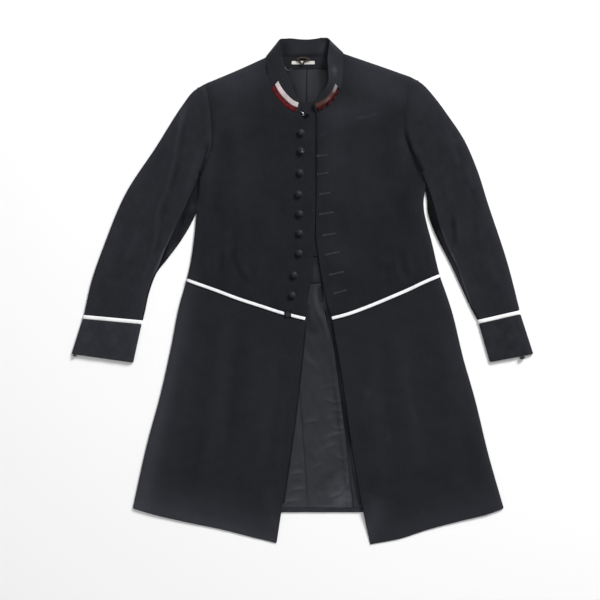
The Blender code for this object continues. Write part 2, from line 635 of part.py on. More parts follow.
def collar_rows():
    """The collar's seam and free edge, from the left front end round the back to the right one."""
    left_seam, left_free = collar_half("left")
    right_seam, right_free = collar_half("right")
    back_seam = at_height(smooth_line(NECK_BACK, COLLAR_BACK_SHARES) + [0, SEAM], 0)
    back_free = np.column_stack([smooth_line(COLLAR_TOP_BACK, COLLAR_BACK_SHARES), COLLAR_BACK_CURL])
    turn_seam = {name: np.array([row[:3] for row in rows]) for name, rows in COLLAR_TURN.items()}
    turn_free = {name: np.array([row[3:] for row in rows]) for name, rows in COLLAR_TURN.items()}
    seam = [left_seam, turn_seam["left"], back_seam, turn_seam["right"][::-1], right_seam[::-1]]
    free = [left_free, turn_free["left"], back_free, turn_free["right"][::-1], right_free[::-1]]
    return np.concatenate(seam), np.concatenate(free)


def collar():
    seam, free = collar_rows()
    steps = np.array([0, 0.3, 0.65, 1])[:, None, None]
    grid = (1 - steps) * seam[None] + steps * free[None]
    # The band bows out a little between its seam and its free edge where it stands up.
    bow = np.array([0, 0.8, 0.8, 0])[:, None] * soft_step((free[:, 2] - 6) / 8)[None]
    grid[..., 2] += 1.5 * bow
    sheet("collar", grid[:, ::-1], BACK_WALL, "wool")
    return grid


def collar_stripe(name, grid, side, low, high, colour):
    """A strip of cloth on the collar's outer face near its front end, made from the face's points,
    between two distances from the seam."""
    count = STRIPE_COLUMNS[side]
    columns = (grid[:, :count] if side == "left" else grid[:, -count:][:, ::-1]).copy()
    columns[:, 0] = (1 - STRIPE_START) * columns[:, 0] + STRIPE_START * columns[:, 1]
    columns[:, -1] = (1 - STRIPE_END[side]) * columns[:, -2] + STRIPE_END[side] * columns[:, -1]
    bottom, top = columns[0], columns[-1]
    reach = np.linalg.norm(top - bottom, axis=1)
    rows = []
    for distance in (low, (low + high) / 2, high):
        share = np.minimum(distance / np.maximum(reach, 1), 0.97)
        known = np.array([0, 0.3, 0.65, 1])
        rows.append(
            np.stack([[np.interp(share[i], known, columns[:, i, k]) for k in range(3)] for i in range(count)])
        )
    strip = np.array(rows)
    along = np.gradient(strip, axis=1)
    across = np.gradient(strip, axis=0)
    out = np.cross(along, across)
    out *= np.sign(out[..., 2:])
    out /= np.linalg.norm(out, axis=2)[..., None]
    strip = strip + out * (SEAM + STRIPE_WALL + 0.1)
    strip = strip[:, ::-1] if side == "left" else strip
    sheet(name, strip, STRIPE_WALL, colour)


def turned(name, profile, colour, place, steps=10):
    """A solid turned about its own Z axis. The profile runs down its outer side as (radius, z)."""
    mesh = bpy.data.meshes.new(name)
    points = [(radius * MM, 0, z * MM) for radius, z in profile]
    mesh.from_pydata(points, [(i, i + 1) for i in range(len(points) - 1)], [])
    obj = finish(bpy.data.objects.new(name, mesh), colour)
    obj.location = np.array(place) * MM
    screw = obj.modifiers.new("turn", "SCREW")
    screw.steps = screw.render_steps = steps
    screw.use_merge_vertices = True
    screw.merge_threshold = 1e-5
    screw.use_smooth_shade = True
    return obj


def button_profile(radius, height):
    angles = np.radians([90, 62, 36, 10, -28])
    dome = [(max(radius * math.cos(a), 0), height * 0.55 + height * 0.45 * math.sin(a)) for a in angles]
    return [*dome, (radius * 0.35, 0.0), (0, 0.0)]


def front_buttons():
    for number, (x, y) in enumerate(BUTTONS, start=1):
        height = float(cloth_height(np.array([[x, y]], float))[0])
        place = (x, y, height + SEAM)
        turned(f"button_{number}", button_profile(BUTTON_RADIUS, BUTTON_HEIGHT), "wool", place)


def cuff_button(side, share, radius, depth):
    """A covered button at the back of the cuff, seen past its hem with its crown outwards."""
    start, end = np.array(CUFF_END[side], float)
    along = (end - start) / np.linalg.norm(end - start)
    away = np.array([along[1], -along[0]]) if side == "left" else np.array([-along[1], along[0]])
    spot = start + share * (end - start) + SEAM * away
    obj = turned(f"cuff_button_{side}", button_profile(radius, depth), "wool", (*spot, radius))
    obj.rotation_euler = (math.pi / 2, 0, math.atan2(away[1], away[0]) + math.pi / 2)
    return obj


def wire(name, points, radius, colour):
    """A round wire or cord along a smooth line through the points."""
    curve = bpy.data.curves.new(name, "CURVE")
    curve.dimensions = "3D"
    curve.bevel_depth = radius * MM
    curve.bevel_resolution = 2
    curve.use_fill_caps = True
    line = smooth_line(points, even(9))
    spline = curve.splines.new("POLY")
    spline.points.add(len(line) - 1)
    for point, (x, y, z) in zip(spline.points, line):
        point.co = (x * MM, y * MM, z * MM, 1)
    return finish(bpy.data.objects.new(name, curve), colour)


def small_pieces():
    tape = BACK_WALL + LINING_WALL + 3 * SEAM
    rows = [(494.5, -23, 28), (487, -24, 28)]
    inner_strip("label_tape", rows, 1, 2, "white_cord", wall=0.6, floor=tape)
    hanger = [(-9, 491, tape + 2.4), (-7, 497, 7.0), (1, 502, 7.6), (9, 498, 7.0), (12, 491, tape + 2.4)]
    wire("hanger_loop", hanger, 1.2, "brown_cord")
    wire("neck_tab", [(-38, 481, 5.9), (-34, 475, 6.2), (-30, 473, 6.4), (-24, 477, 5.9)], 1.2, "steel")
    base = float(cloth_height(np.array([[0.0, 378.0]]))[0])
    hook = [(-3.6, 385, 1.6), (-1, 383.5, 2.2), (2, 380, 2.4), (3, 377, 1.7), (0, 377, 1.3)]
    hook = [(x, y, base + rise) for x, y, rise in hook]
    wire("collar_hook", hook, 0.9, "steel")


def middle_of_coat():
    """The middle of the coat's box, seen from above."""
    bpy.context.view_layer.update()
    graph = bpy.context.evaluated_depsgraph_get()
    corners = []
    for obj in COAT.objects:
        if obj.type in ("MESH", "CURVE"):
            mesh = obj.evaluated_get(graph).to_mesh()
            points = np.empty(len(mesh.vertices) * 3, np.float32)
            mesh.vertices.foreach_get("co", points)
            world = np.array(obj.matrix_world)
            points = points.reshape(-1, 3) @ world[:3, :3].T + world[:3, 3]
            corners += [points.min(axis=0), points.max(axis=0)]
            obj.evaluated_get(graph).to_mesh_clear()
    corners = np.array(corners)
    return (corners.min(axis=0) + corners.max(axis=0)) / 2


clear_scene()
COAT = bpy.data.collections.new("dress_coat")
bpy.context.scene.collection.children.link(COAT)
PLACE = bpy.data.objects.new("place", None)
COAT.objects.link(PLACE)

for side_name in ("left", "right"):
    back_bodice(side_name)
    back_skirt(side_name)
    front_bodice(side_name)
    front_skirt(side_name)
    waist_piping(side_name)
    sleeve_top(side_name)
    sleeve_under(side_name)
    cuff(side_name)
    skirt_facing(side_name)
piping_loop()
inner_strip("neck_facing", NECK_FACING, 1, 2, "wool_inside")
inner_strip("neck_lining_left", NECK_LINING, 1, 2, "lining")
inner_strip("neck_lining_right", NECK_LINING, 2, 3, "lining")
inner_strip("waist_stay", WAIST_STAY, 1, 2, "wool_inside")
inner_strip("skirt_lining_left", SKIRT_LINING, 1, 2, "lining")
inner_strip("skirt_lining_middle", SKIRT_LINING, 2, 3, "lining")
inner_strip("skirt_lining_right", SKIRT_LINING, 3, 4, "lining")
inner_strip("back_hem", [(-467, -70, 150), (-476, -72, 152)], 1, 2, "wool_inside", wall=1.2)
COLLAR_FACE = collar()
for stripe_side, light in (("left", "white_cord"), ("right", "tan_cloth")):
    start = STRIPE_FOOT
    for name, colour in ((f"red_{stripe_side}", "red_cloth"), (f"light_{stripe_side}", light)):
        end = start + STRIPE_WIDTH[stripe_side]
        collar_stripe(f"collar_stripe_{name}", COLLAR_FACE, stripe_side, start, end, colour)
        start = end + 2 * SEAM
front_buttons()
cuff_button("left", 0.06, 4.6, 3.6)
cuff_button("right", 0.27, 6.0, 6.0)
small_pieces()

middle = middle_of_coat()
PLACE.location = (-middle[0], -middle[1], 0)
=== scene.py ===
"""Looks of a knee-length military dress coat that lies flat on its back with its front open.

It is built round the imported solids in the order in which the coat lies: backs, linings, fronts,
skirts, sleeves, collar, buttons. Sizes in the tables are millimetres from the coat's middle, left and
right are as seen from above with the collar at the top, and the meshes are in metres.
"""

import bpy
import numpy as np
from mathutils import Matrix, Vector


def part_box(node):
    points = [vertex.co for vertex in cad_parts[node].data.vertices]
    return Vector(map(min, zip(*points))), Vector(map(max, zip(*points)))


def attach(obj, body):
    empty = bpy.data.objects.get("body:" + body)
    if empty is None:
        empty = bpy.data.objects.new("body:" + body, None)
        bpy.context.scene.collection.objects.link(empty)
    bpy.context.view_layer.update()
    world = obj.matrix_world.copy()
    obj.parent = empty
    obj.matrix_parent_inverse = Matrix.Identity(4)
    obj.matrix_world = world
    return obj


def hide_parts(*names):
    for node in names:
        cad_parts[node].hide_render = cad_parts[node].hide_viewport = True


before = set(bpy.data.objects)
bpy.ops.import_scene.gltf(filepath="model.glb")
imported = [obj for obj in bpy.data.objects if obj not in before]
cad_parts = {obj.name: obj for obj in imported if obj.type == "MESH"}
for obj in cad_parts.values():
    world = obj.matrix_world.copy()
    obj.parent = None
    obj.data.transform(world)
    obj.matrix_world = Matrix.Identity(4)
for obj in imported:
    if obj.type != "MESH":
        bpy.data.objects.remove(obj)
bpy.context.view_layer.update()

# Backs: the two backs and the two back skirts lie face down on the surface, sewn together at the
# centre seam and at the waist. Fulled black wool, cut on the fold lines of the laid coat.
MM = 0.001
SIGN = {"left": -1, "right": 1}  # of x, away from the middle
BACK_WALL = 2.2
CENTRE_BACK = 9.0  # x of the centre seam
BACK_WAIST = 10.0  # y of the seam between the backs and their skirts
SKIRT_TOP = 0.97  # the share of a skirt's side line that lies below that seam
BACK_INSET = 0.8  # how far the rims of the backs stand inside their outline
SEAM = 0.3  # between two pieces that are sewn together
FLOOR_LIFT = 0.2  # of a hidden lower face off the surface
SEAM_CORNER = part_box("back_bodice_left")
MIDDLE = np.array([
    SEAM_CORNER[1].x - (CENTRE_BACK - SEAM / 2) * MM,
    SEAM_CORNER[0].y - (BACK_WAIST + SEAM / 2) * MM,
    0,
])
SIDE = {
    "left": [(-250, 24), (-243, 53), (-235, 105), (-229, 165)],
    "right": [(296, 33), (291, 53), (279, 105), (268, 146), (262.5, 172), (261.5, 194), (264.5, 213)],
}
SKIRT_SIDE = {
    "left": [(-366, -468), (-334, -325), (-306, -222), (-283, -119), (-266, -33), (-250, 24)],
    "right": [(434, -468), (403, -360), (369, -222), (349, -153), (319, -33), (296, 33)],
}
ARMHOLE = {
    "left": [(-223, 249), (-210, 275), (-197, 313), (-197, 367), (-203, 417), (-210, 446)],
    "right": [(255, 258), (244, 281), (227, 313), (220, 337), (221, 389), (227, 427), (233, 461)],
}
SHOULDER = {
    "left": [(-78, 503), (-143, 474), (-210, 446)],
    "right": [(88, 511), (156, 488), (233, 461)],
}
NECK_BACK = [(-78, 503), (-42, 494), (5, 490), (53, 496), (88, 511)]
BACK_NECK_START = {"left": 0.2, "right": 0.8}  # the share of that line where each back's neck starts
BACK_HEM = [(-366, -467), (-46, -476.5), (132, -476.5), (434, -467)]
FOLD_CLEAR = 5.0  # how far the backs stop short of the folds, where the fronts turn under
WOOL = (0.0075, 0.0080, 0.0099)
WOOL_WORN = (0.0102, 0.0107, 0.0131)
WOOL_PALE = (0.0430, 0.0448, 0.0530)


def run_of(line):
    """The distance along a line to each of its points."""
    return np.concatenate([[0], np.cumsum(np.linalg.norm(np.diff(line, axis=0), axis=1))])


def share_of(line):
    """The same as a share of the line's length."""
    run = run_of(line)
    return run / run[-1]


def points_at(wanted, run, line):
    """The points at the wanted distances along a line whose own points stand at the distances run."""
    return np.stack([np.interp(wanted, run, line[:, k]) for k in range(line.shape[1])], axis=1)


def cubic_line(points, at, along):
    """A smooth line through points that stand at the distances at, read at the distances along: between
    two points it is the cubic whose slopes there are those of the chords on either side."""
    slope = np.gradient(points, at, axis=0)
    i = np.clip(np.searchsorted(at, along, side="right") - 1, 0, len(points) - 2)
    step = (at[i + 1] - at[i])[:, None]
    t = (along - at[i])[:, None] / step
    return (
        (2 * t**3 - 3 * t**2 + 1) * points[i]
        + (t**3 - 2 * t**2 + t) * step * slope[i]
        + (3 * t**2 - 2 * t**3) * points[i + 1]
        + (t**3 - t**2) * step * slope[i + 1]
    )


def smooth_line(points, shares):
    """Points at shares of the length of the cubic line through the given ones. It is measured on 40
    short chords for each of its parts."""
    points = np.array(points, float)
    at = run_of(points)
    line = cubic_line(points, at, np.linspace(0, at[-1], 40 * (len(points) - 1) + 1))
    run = run_of(line)
    return points_at(np.array(shares) * run[-1], run, line)


def even_line(points, count):
    """The same line as a number of evenly spaced points."""
    return smooth_line(points, np.linspace(0, 1, count))


def crowded(count, ends=0.6):
    """Shares from 0 to 1, closer together at both ends: t less ends times sin(2 pi t) over 2 pi."""
    t = np.linspace(0, 1, count)
    return t - ends * np.sin(2 * np.pi * t) / (2 * np.pi)


def shifted(line, distance):
    """The line moved sideways by the distance, to the left of its direction where it is positive."""
    along = np.gradient(line[:, :2], axis=0)
    along /= np.linalg.norm(along, axis=1)[:, None]
    return line + distance * np.stack([-along[:, 1], along[:, 0]], axis=1)


def ruled(one, other, shares):
    """The straight strip between two lines, at shares of the way across."""
    u = np.array(shares)[None, :, None]
    return (1 - u) * one[:, None] + u * other[:, None]


def patch(left, right, bottom, top, u, v):
    """A Coons patch: the two ruled surfaces between opposite borders, added, less the one that the four
    corners span."""
    sides = ruled(left, right, u)
    u = np.array(u)[None, :, None]
    v = np.array(v)[:, None, None]
    ends = (1 - v) * bottom[None] + v * top[None]
    corners = (1 - v) * ((1 - u) * bottom[0] + u * bottom[-1]) + v * ((1 - u) * top[0] + u * top[-1])
    return sides + ends - corners


def raised(points, height):
    """Flat points at their heights."""
    height = np.broadcast_to(height, points.shape[:-1])
    return np.concatenate([points, height[..., None]], axis=-1)


def drawn_in(grid, gap):
    """The grid with its border moved in by the gap. The move fades over a few gaps further in."""
    out = grid.copy()
    for turned, source in ((out, grid), (out.swapaxes(0, 1), grid.swapaxes(0, 1))):
        for rows in (slice(None), slice(None, None, -1)):
            near = source[rows]
            steps = np.linalg.norm(np.diff(near, axis=0), axis=2)
            far = np.concatenate([np.zeros((1, near.shape[1])), np.cumsum(steps, axis=0)])
            way = near[1] - near[0]
            way = way / np.maximum(np.linalg.norm(way, axis=1), 1e-6)[:, None]
            turned[rows] += way[None] * (gap * np.exp(-far / (4 * gap)))[..., None]
    return out


def outward(grid, up=True):
    """The grid with its columns reversed where its face would look the wrong way."""
    tilt = np.cross(np.diff(grid, axis=1)[:-1], np.diff(grid, axis=0)[:, :-1])[..., 2].sum()
    return grid if (tilt > 0) == up else grid[:, ::-1]


RIM = [
    # angle round the half circle, how far a fold is tucked under, share of its height
    (36, 0.1, 0.62),
    (72, 0.45, 0.3),
    (108, 1.1, 0.05),
    (144, None, 0.4),  # its tuck goes with the wall
]


def cloth_wall(grid, wall, to_floor=None):
    """Points and faces of a closed wall of cloth whose outer face is the grid.

    The inner face is the outer one moved back along its normal by the wall. The rim between them is half
    a circle. Where to_floor, a value for each point of the grid, is 1, the rim goes straight down to
    the floor instead and a little under itself, as a fold does."""
    rows, columns = grid.shape[:2]
    normal = np.cross(np.gradient(grid, axis=1), np.gradient(grid, axis=0))
    normal /= np.maximum(np.linalg.norm(normal, axis=2), 1e-9)[..., None]
    outer = grid.reshape(-1, 3)
    normal = normal.reshape(-1, 3)
    inner = outer - wall * normal
    first, last = np.arange(columns), np.arange(rows)
    loop = np.concatenate([
        first[:-1],
        last[:-1] * columns + columns - 1,
        (rows - 1) * columns + first[:0:-1],
        last[:0:-1] * columns,
    ])
    edge, up = outer[loop], normal[loop]
    out = np.cross(np.roll(edge, -1, axis=0) - np.roll(edge, 1, axis=0), up)
    out /= np.maximum(np.linalg.norm(out, axis=1), 1e-9)[:, None]
    flat_out = out * [1, 1, 0]
    flat_out /= np.maximum(np.linalg.norm(flat_out, axis=1), 1e-9)[:, None]
    fold = np.zeros((len(loop), 1)) if to_floor is None else to_floor.reshape(-1)[loop][:, None]
    rings = []
    for turn, tuck, drop in RIM:
        angle = np.radians(turn)
        round_rim = edge - up * wall / 2 * (1 - np.cos(angle)) + out * wall / 2 * np.sin(angle)
        fold_rim = edge - flat_out * (1.1 + 0.9 * wall if tuck is None else tuck)
        fold_rim[:, 2] = edge[:, 2] * drop
        rings.append(fold * fold_rim + (1 - fold) * round_rim)
    points = np.concatenate([outer, inner, *rings])
    cell = (np.arange(rows - 1)[:, None] * columns + np.arange(columns - 1)).reshape(-1)
    face = np.stack([cell, cell + 1, cell + columns + 1, cell + columns], axis=1)
    faces = [face, face[:, ::-1] + len(outer)]
    rim_loops = 2 * len(outer) + np.arange(len(RIM) * len(loop)).reshape(len(RIM), -1)
    chain = [loop, *rim_loops, loop + len(outer)]
    for near, far in zip(chain[:-1], chain[1:]):
        faces.append(np.stack([near, far, np.roll(far, -1), np.roll(near, -1)], axis=1))
    return points, np.concatenate(faces)


def piece(name, parts, finish, stands_for=()):
    """One object from (points, faces) parts, in millimetres, that rides on the coat's one body."""
    start = 0
    points, corners, starts = [], [], []
    count = 0
    for part_points, *face_groups in parts:
        for faces in face_groups:
            corners.append(faces.reshape(-1) + start)
            starts.append(count + faces.shape[1] * np.arange(len(faces)))
            count += faces.size
        points.append(part_points)
        start += len(part_points)
    mesh = bpy.data.meshes.new(f"{name}_look")
    mesh.vertices.add(start)
    mesh.vertices.foreach_set("co", (np.concatenate(points) * MM + MIDDLE).astype(np.float32).reshape(-1))
    mesh.loops.add(count)
    mesh.loops.foreach_set("vertex_index", np.concatenate(corners).astype(np.int32))
    starts = np.concatenate(starts).astype(np.int32)
    mesh.polygons.add(len(starts))
    mesh.polygons.foreach_set("loop_start", starts)
    mesh.polygons.foreach_set("use_smooth", np.ones(len(starts), bool))
    mesh.update(calc_edges=True)
    mesh.validate()
    mesh.materials.append(finish)
    obj = bpy.data.objects.new(f"{name}_look", mesh)
    bpy.context.scene.collection.objects.link(obj)
    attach(obj, "root")
    if stands_for:
        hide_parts(*stands_for)
    return obj


def nodes_of(name):
    """A new material's nodes, links and shader."""
    made = bpy.data.materials.new(name)
    made.use_nodes = True
    return made, made.node_tree.nodes, made.node_tree.links, made.node_tree.nodes["Principled BSDF"]


def gloss(shader, roughness, specular, sheen=0.0):
    """How a cloth's surface throws light back."""
    shader.inputs["Roughness"].default_value = roughness
    shader.inputs["Specular IOR Level"].default_value = specular
    shader.inputs["Sheen Weight"].default_value = sheen


def noise(nodes, links, vector, scale, detail=2.0, rough=0.5):
    """Soft patches, about as many to the metre as the scale says."""
    node = nodes.new("ShaderNodeTexNoise")
    node.inputs["Scale"].default_value = scale
    node.inputs["Detail"].default_value = detail
    node.inputs["Roughness"].default_value = rough
    links.new(vector, node.inputs["Vector"])
    return node.outputs["Fac"]


def bump(nodes, links, height, distance, below=None):
    """A relief of the given depth in metres, on top of another one where there is one."""
    node = nodes.new("ShaderNodeBump")
    node.inputs["Distance"].default_value = distance
    node.inputs["Strength"].default_value = 1.0
    links.new(height, node.inputs["Height"])
    if below:
        links.new(below, node.inputs["Normal"])
    return node.outputs["Normal"]


def blend_colours(nodes, links, share, low, high, from_min=0.35, from_max=0.65):
    """A colour between low and high, as the share goes from from_min to from_max."""
    ramp = nodes.new("ShaderNodeValToRGB")
    ramp.color_ramp.elements[0].position = from_min
    ramp.color_ramp.elements[1].position = from_max
    ramp.color_ramp.elements[0].color = (*low, 1)
    ramp.color_ramp.elements[1].color = (*high, 1)
    links.new(share, ramp.inputs["Fac"])
    return ramp.outputs["Color"]


def coordinates(nodes, links, stretch=(1, 1, 1), turn=0.0):
    """The object's own coordinates, turned about Z and stretched."""
    place = nodes.new("ShaderNodeTexCoord")
    mapping = nodes.new("ShaderNodeMapping")
    mapping.inputs["Scale"].default_value = stretch
    mapping.inputs["Rotation"].default_value = (0, 0, turn)
    links.new(place.outputs["Object"], mapping.inputs["Vector"])
    return mapping.outputs["Vector"]


def ribs(nodes, links, vector, pitch, direction="X"):
    """Even ribs of the given pitch in metres: a sine wave, whose bands are 0.314 apart at scale 1."""
    wave = nodes.new("ShaderNodeTexWave")
    wave.bands_direction = direction
    wave.inputs["Scale"].default_value = 0.314 / pitch
    wave.inputs["Distortion"].default_value = 0.6
    wave.inputs["Detail"].default_value = 1.0
    links.new(vector, wave.inputs["Vector"])
    return wave.outputs["Fac"]


def colour_with_wear_and_painted_light(nodes, links, colour, pale):
    """The colour mixed with a paler one by the piece's own values of wear and painted light; values below 0
    darken it, as painted shade.
    """
    values = nodes.new("ShaderNodeAttribute")
    values.attribute_name = "wear_and_painted_light"
    mix = nodes.new("ShaderNodeMix")
    mix.data_type = "RGBA"
    mix.clamp_factor = False
    mix.inputs["B"].default_value = (*pale, 1)
    links.new(values.outputs["Fac"], mix.inputs["Factor"])
    links.new(colour, mix.inputs["A"])
    return mix.outputs["Result"]


def wool(name, base, worn, sheen=0.12, pale=WOOL_PALE):
    """Fulled wool: a faint steep twill under a felted nap, a little uneven in soft patches, and paler or
    darker by the piece's wear and painted light and shade.
    """
    made, nodes, links, shader = nodes_of(name)
    place = coordinates(nodes, links)
    patches = noise(nodes, links, place, scale=24.0, detail=5.0, rough=0.62)
    colour = colour_with_wear_and_painted_light(nodes, links, blend_colours(nodes, links, patches, base, worn, 0.3, 0.7), pale)
    flecks = noise(nodes, links, place, scale=900.0)
    mix = nodes.new("ShaderNodeMix")
    mix.data_type = "RGBA"
    mix.blend_type = "MULTIPLY"
    mix.inputs["Factor"].default_value = 0.5
    links.new(colour, mix.inputs["A"])
    links.new(blend_colours(nodes, links, flecks, (0.6, 0.6, 0.6), (1.5, 1.5, 1.55)), mix.inputs["B"])
    links.new(mix.outputs["Result"], shader.inputs["Base Color"])
    twill = ribs(nodes, links, coordinates(nodes, links, turn=np.radians(62)), pitch=0.0011)
    under = bump(nodes, links, twill, distance=0.00006)
    felt_place = coordinates(nodes, links, stretch=(1, 0.6, 1))
    felt = noise(nodes, links, felt_place, scale=1500.0, detail=3.0, rough=0.65)
    links.new(bump(nodes, links, felt, distance=0.00022, below=under), shader.inputs["Normal"])
    gloss(shader, roughness=0.92, specular=0.08, sheen=sheen)
    shader.inputs["Sheen Roughness"].default_value = 0.35
    shader.inputs["Sheen Tint"].default_value = (0.55, 0.57, 0.68, 1)
    return made


OUTER_WOOL = wool("outer_wool", WOOL, WOOL_WORN)


def flat_back(name, grid):
    """A piece that lies face down on the surface. Its hidden face wavers up to twice the floor lift, as
    the product of two sines, one across and one along."""
    x, y = grid[..., 0], grid[..., 1]
    lift = FLOOR_LIFT + FLOOR_LIFT * np.sin(x / 31 + np.sin(y / 43)) * np.sin(y / 37)
    grid = outward(raised(grid, lift), up=False)
    piece(name, [cloth_wall(grid, BACK_WALL)], OUTER_WOOL, [name])


def back_bodice(side):
    """A Coons patch: side seam and armhole on one side, centre seam on the other, waist below, shoulder
    and neck on top. It stops short of the folds."""
    inset = SIGN[side] * FOLD_CLEAR
    side_seam = [smooth_line(SKIRT_SIDE[side], [SKIRT_TOP]), even_line(SIDE[side], 24)]
    side_seam = shifted(np.concatenate(side_seam), inset)
    side_seam[0, 1] = BACK_WAIST
    armhole = even_line(ARMHOLE[side], 26)[:-1]
    shoulder = shifted(smooth_line(SHOULDER[side][::-1], np.linspace(0.02, 0.95, 20)), inset)
    outer = np.concatenate([side_seam, armhole, shoulder[:1]])
    neck = smooth_line(NECK_BACK, np.linspace(BACK_NECK_START[side], 0.5, 16)) + [0, BACK_INSET]
    neck[-1, 0] = CENTRE_BACK
    top = np.concatenate([shoulder, neck])
    u = share_of(top)
    v = (outer[:, 1] - outer[0, 1]) / (outer[-1, 1] - outer[0, 1])
    centre = np.stack([np.full(len(v), CENTRE_BACK), BACK_WAIST + v * (neck[-1, 1] - BACK_WAIST)], axis=1)
    waist = np.stack([outer[0, 0] + u * (CENTRE_BACK - outer[0, 0]), np.full(len(u), BACK_WAIST)], axis=1)
    flat_back(f"back_bodice_{side}", drawn_in(patch(outer, centre, waist, top, u, v), BACK_INSET))


def back_skirt(side):
    """The same between the skirt's side, the centre seam, the hem and the waist."""
    v, u = np.linspace(0, 1, 50), np.linspace(0, 1, 36)
    hem = np.array(BACK_HEM, float)
    outer = shifted(smooth_line(SKIRT_SIDE[side], SKIRT_TOP * v), SIGN[side] * FOLD_CLEAR)
    outer[0, 1] = np.interp(outer[0, 0], hem[:, 0], hem[:, 1])
    outer[-1, 1] = BACK_WAIST
    centre = np.stack([np.full(len(v), CENTRE_BACK), hem[1, 1] + v * (BACK_WAIST - hem[1, 1])], axis=1)
    x = outer[0, 0] + u * (CENTRE_BACK - outer[0, 0])
    bottom = np.stack([x, np.interp(x, hem[:, 0], hem[:, 1])], axis=1)
    top_x = outer[-1, 0] + u * (CENTRE_BACK - outer[-1, 0])
    top = np.stack([top_x, np.full(len(u), BACK_WAIST)], axis=1)
    flat_back(f"back_skirt_{side}", drawn_in(patch(outer, centre, bottom, top, u, v), BACK_INSET))


for side in ("left", "right"):
    back_bodice(side)
    back_skirt(side)

# Linings: what shows of the inside between the open fronts. Grey-black satin with soft puckers, in
# five panels, with the wool neck facing, a waist stay and the back hem, all felled by hand.
LINING_FLOOR = 2.7  # the height that the panels lie at
LINING_WALL = 0.7
PANEL_TOP = LINING_FLOOR + LINING_WALL
PUCKER_SCALE = 0.78
PUCKER_HIGHLIGHT = 0.07  # painted highlight: a pucker of 1 mm is this much paler on top
DARKEST_LINING = -0.09  # below it the satin's colour would shift
SEAM_PULL = 0.45
SEAM_REACH = 0.05  # how far a seam pulls the lining down, as a share of the panel's width
PLEAT_RISE = 0.5  # how much the skirt's middle panel stands up along its pleat
PLEAT_RISE_LOW = 1.4  # and how much more below, towards the hem
PLEAT_GATHER = 0.38
HEM_GATHER = 0.45
LINING = (0.0040, 0.0046, 0.0072)
LINING_WORN = (0.0074, 0.0082, 0.0116)
LINING_PALE = (0.0480, 0.0505, 0.0600)
NECK_LINING = [
    # y, left side, centre seam, right side
    (477, -66, 9, 84),
    (420, -58, 9, 80),
    (372, -30, 8, 60),
    (250, -14, 8, 52),
    (75, -12, 8, 62),
]
SKIRT_LINING = [
    # y, left side, left seam, pleat edge, right side
    (15.5, -24, -18, 40, 76),
    (-46, -26, -16, 48, 84),
    (-119, -30, -12, 67, 100),
    (-235, -42, -5, 83, 116),
    (-330, -54, 2, 95, 130),
    (-415, -64, 8, 104, 140),
    (-467, -72, 11, 109, 148),
]
PUCKERS = [
    # from x, y, to x, y, bend, half width, height
    (27, 20, 40, -66, -5, 7, 2.6),  # the lining bulges out of the waist
    (36, -44, 56, -112, 3, 7, 1.9),
    (8, -58, 34, -98, 2, 4.5, -1.5),
    (12, -20, 16, -86, 3, 6, 1.0),
    (36, -214, 78, -206, 5, 3.4, 1.3),
    (46, -232, 84, -238, -4, 3.2, 1.4),
    (52, -262, 88, -258, 4, 3.6, 1.5),
    (60, -290, 90, -296, -3, 3.4, 1.4),
    (38, -326, 92, -306, 5, 4, 1.7),
    (2, -284, 36, -279, 2, 3.2, 1.5),
    (6, -356, 30, -372, 6, 5, -1.1),
    (30, -354, 78, -330, 6, 4.5, 1.6),
    (70, -352, 96, -362, -4, 4, 1.4),
    (-22, -380, -4, -372, 3, 3, 0.9),
    (-30, -400, 4, -392, 5, 3.4, 2.1),
    (-32, -412, 2, -414, 3, 4, -1.3),
    (-38, -440, 8, -426, 6, 4, 2.1),
    (-50, -460, -4, -452, 4, 3.4, 1.6),
    (16, -392, 46, -372, 5, 4, 1.5),
    (22, -440, 66, -400, 8, 5, -1.6),
    (52, -446, 102, -402, -8, 6, 2.4),
    (46, -460, 90, -436, 6, 4, 1.6),
    (84, -398, 100, -420, 3, 4, 1.1),
    (4, -150, 40, -180, 6, 6, 0.9),
    (0, -120, 20, -160, -4, 6, 0.7),
    (-20, -250, -8, -330, 4, 4, 0.8),
    (-4, 450, 0, 330, 3, 4, 1.0),
    (-16, 440, -10, 380, -3, 5, 0.8),
    (34, 466, 30, 340, -3, 4, 0.9),
    (56, 470, 48, 400, -4, 7, 1.0),
    (-40, 466, -24, 400, 3, 5, 0.9),
]
PLEAT_EDGE = ([-15.5, 46, 119, 235, 330, 415, 466], [40, 48, 67, 83, 95, 104, 109])
# how much paler the lining is painted down the coat: paler towards the hem, low near the waist and darkest at
# the foot of the neck, as painted shade of the fronts
LINING_PALENESS_AND_SHADE = ([-466, -430, -342, -235, -160, -110, -63, -20, 380, 396, 412, 440, 480],
               [0.46, 0.30, 0.25, 0.19, 0.14, 0.06, 0.04, 0.10, -0.1, -0.1, -0.06, -0.02, 0.06])
# painted shade down the strip beside the right skirt, darkest near the waist where that skirt's edge shades
# it, paler towards the hem
SHADED_FADE = ([-470, -440, -400, -364, -330, -278, -230, -192, -150, -110, 0],
               [0.42, 0.34, 0.38, 0.46, 0.18, 0.05, 0.08, 0.14, 0.03, -0.03, -0.10])
# painted light along lit strips of that shaded strip
SHADED_MARKS = [
    # from x, y, to x, y, bend, half width, paler by
    (45, 4, 49, -46, 0, 2.6, 0.60),
    (55, -70, 62, -116, 0, 3.0, 0.30),
    (70, -116, 86, -236, 0, 4.0, 0.24),
]
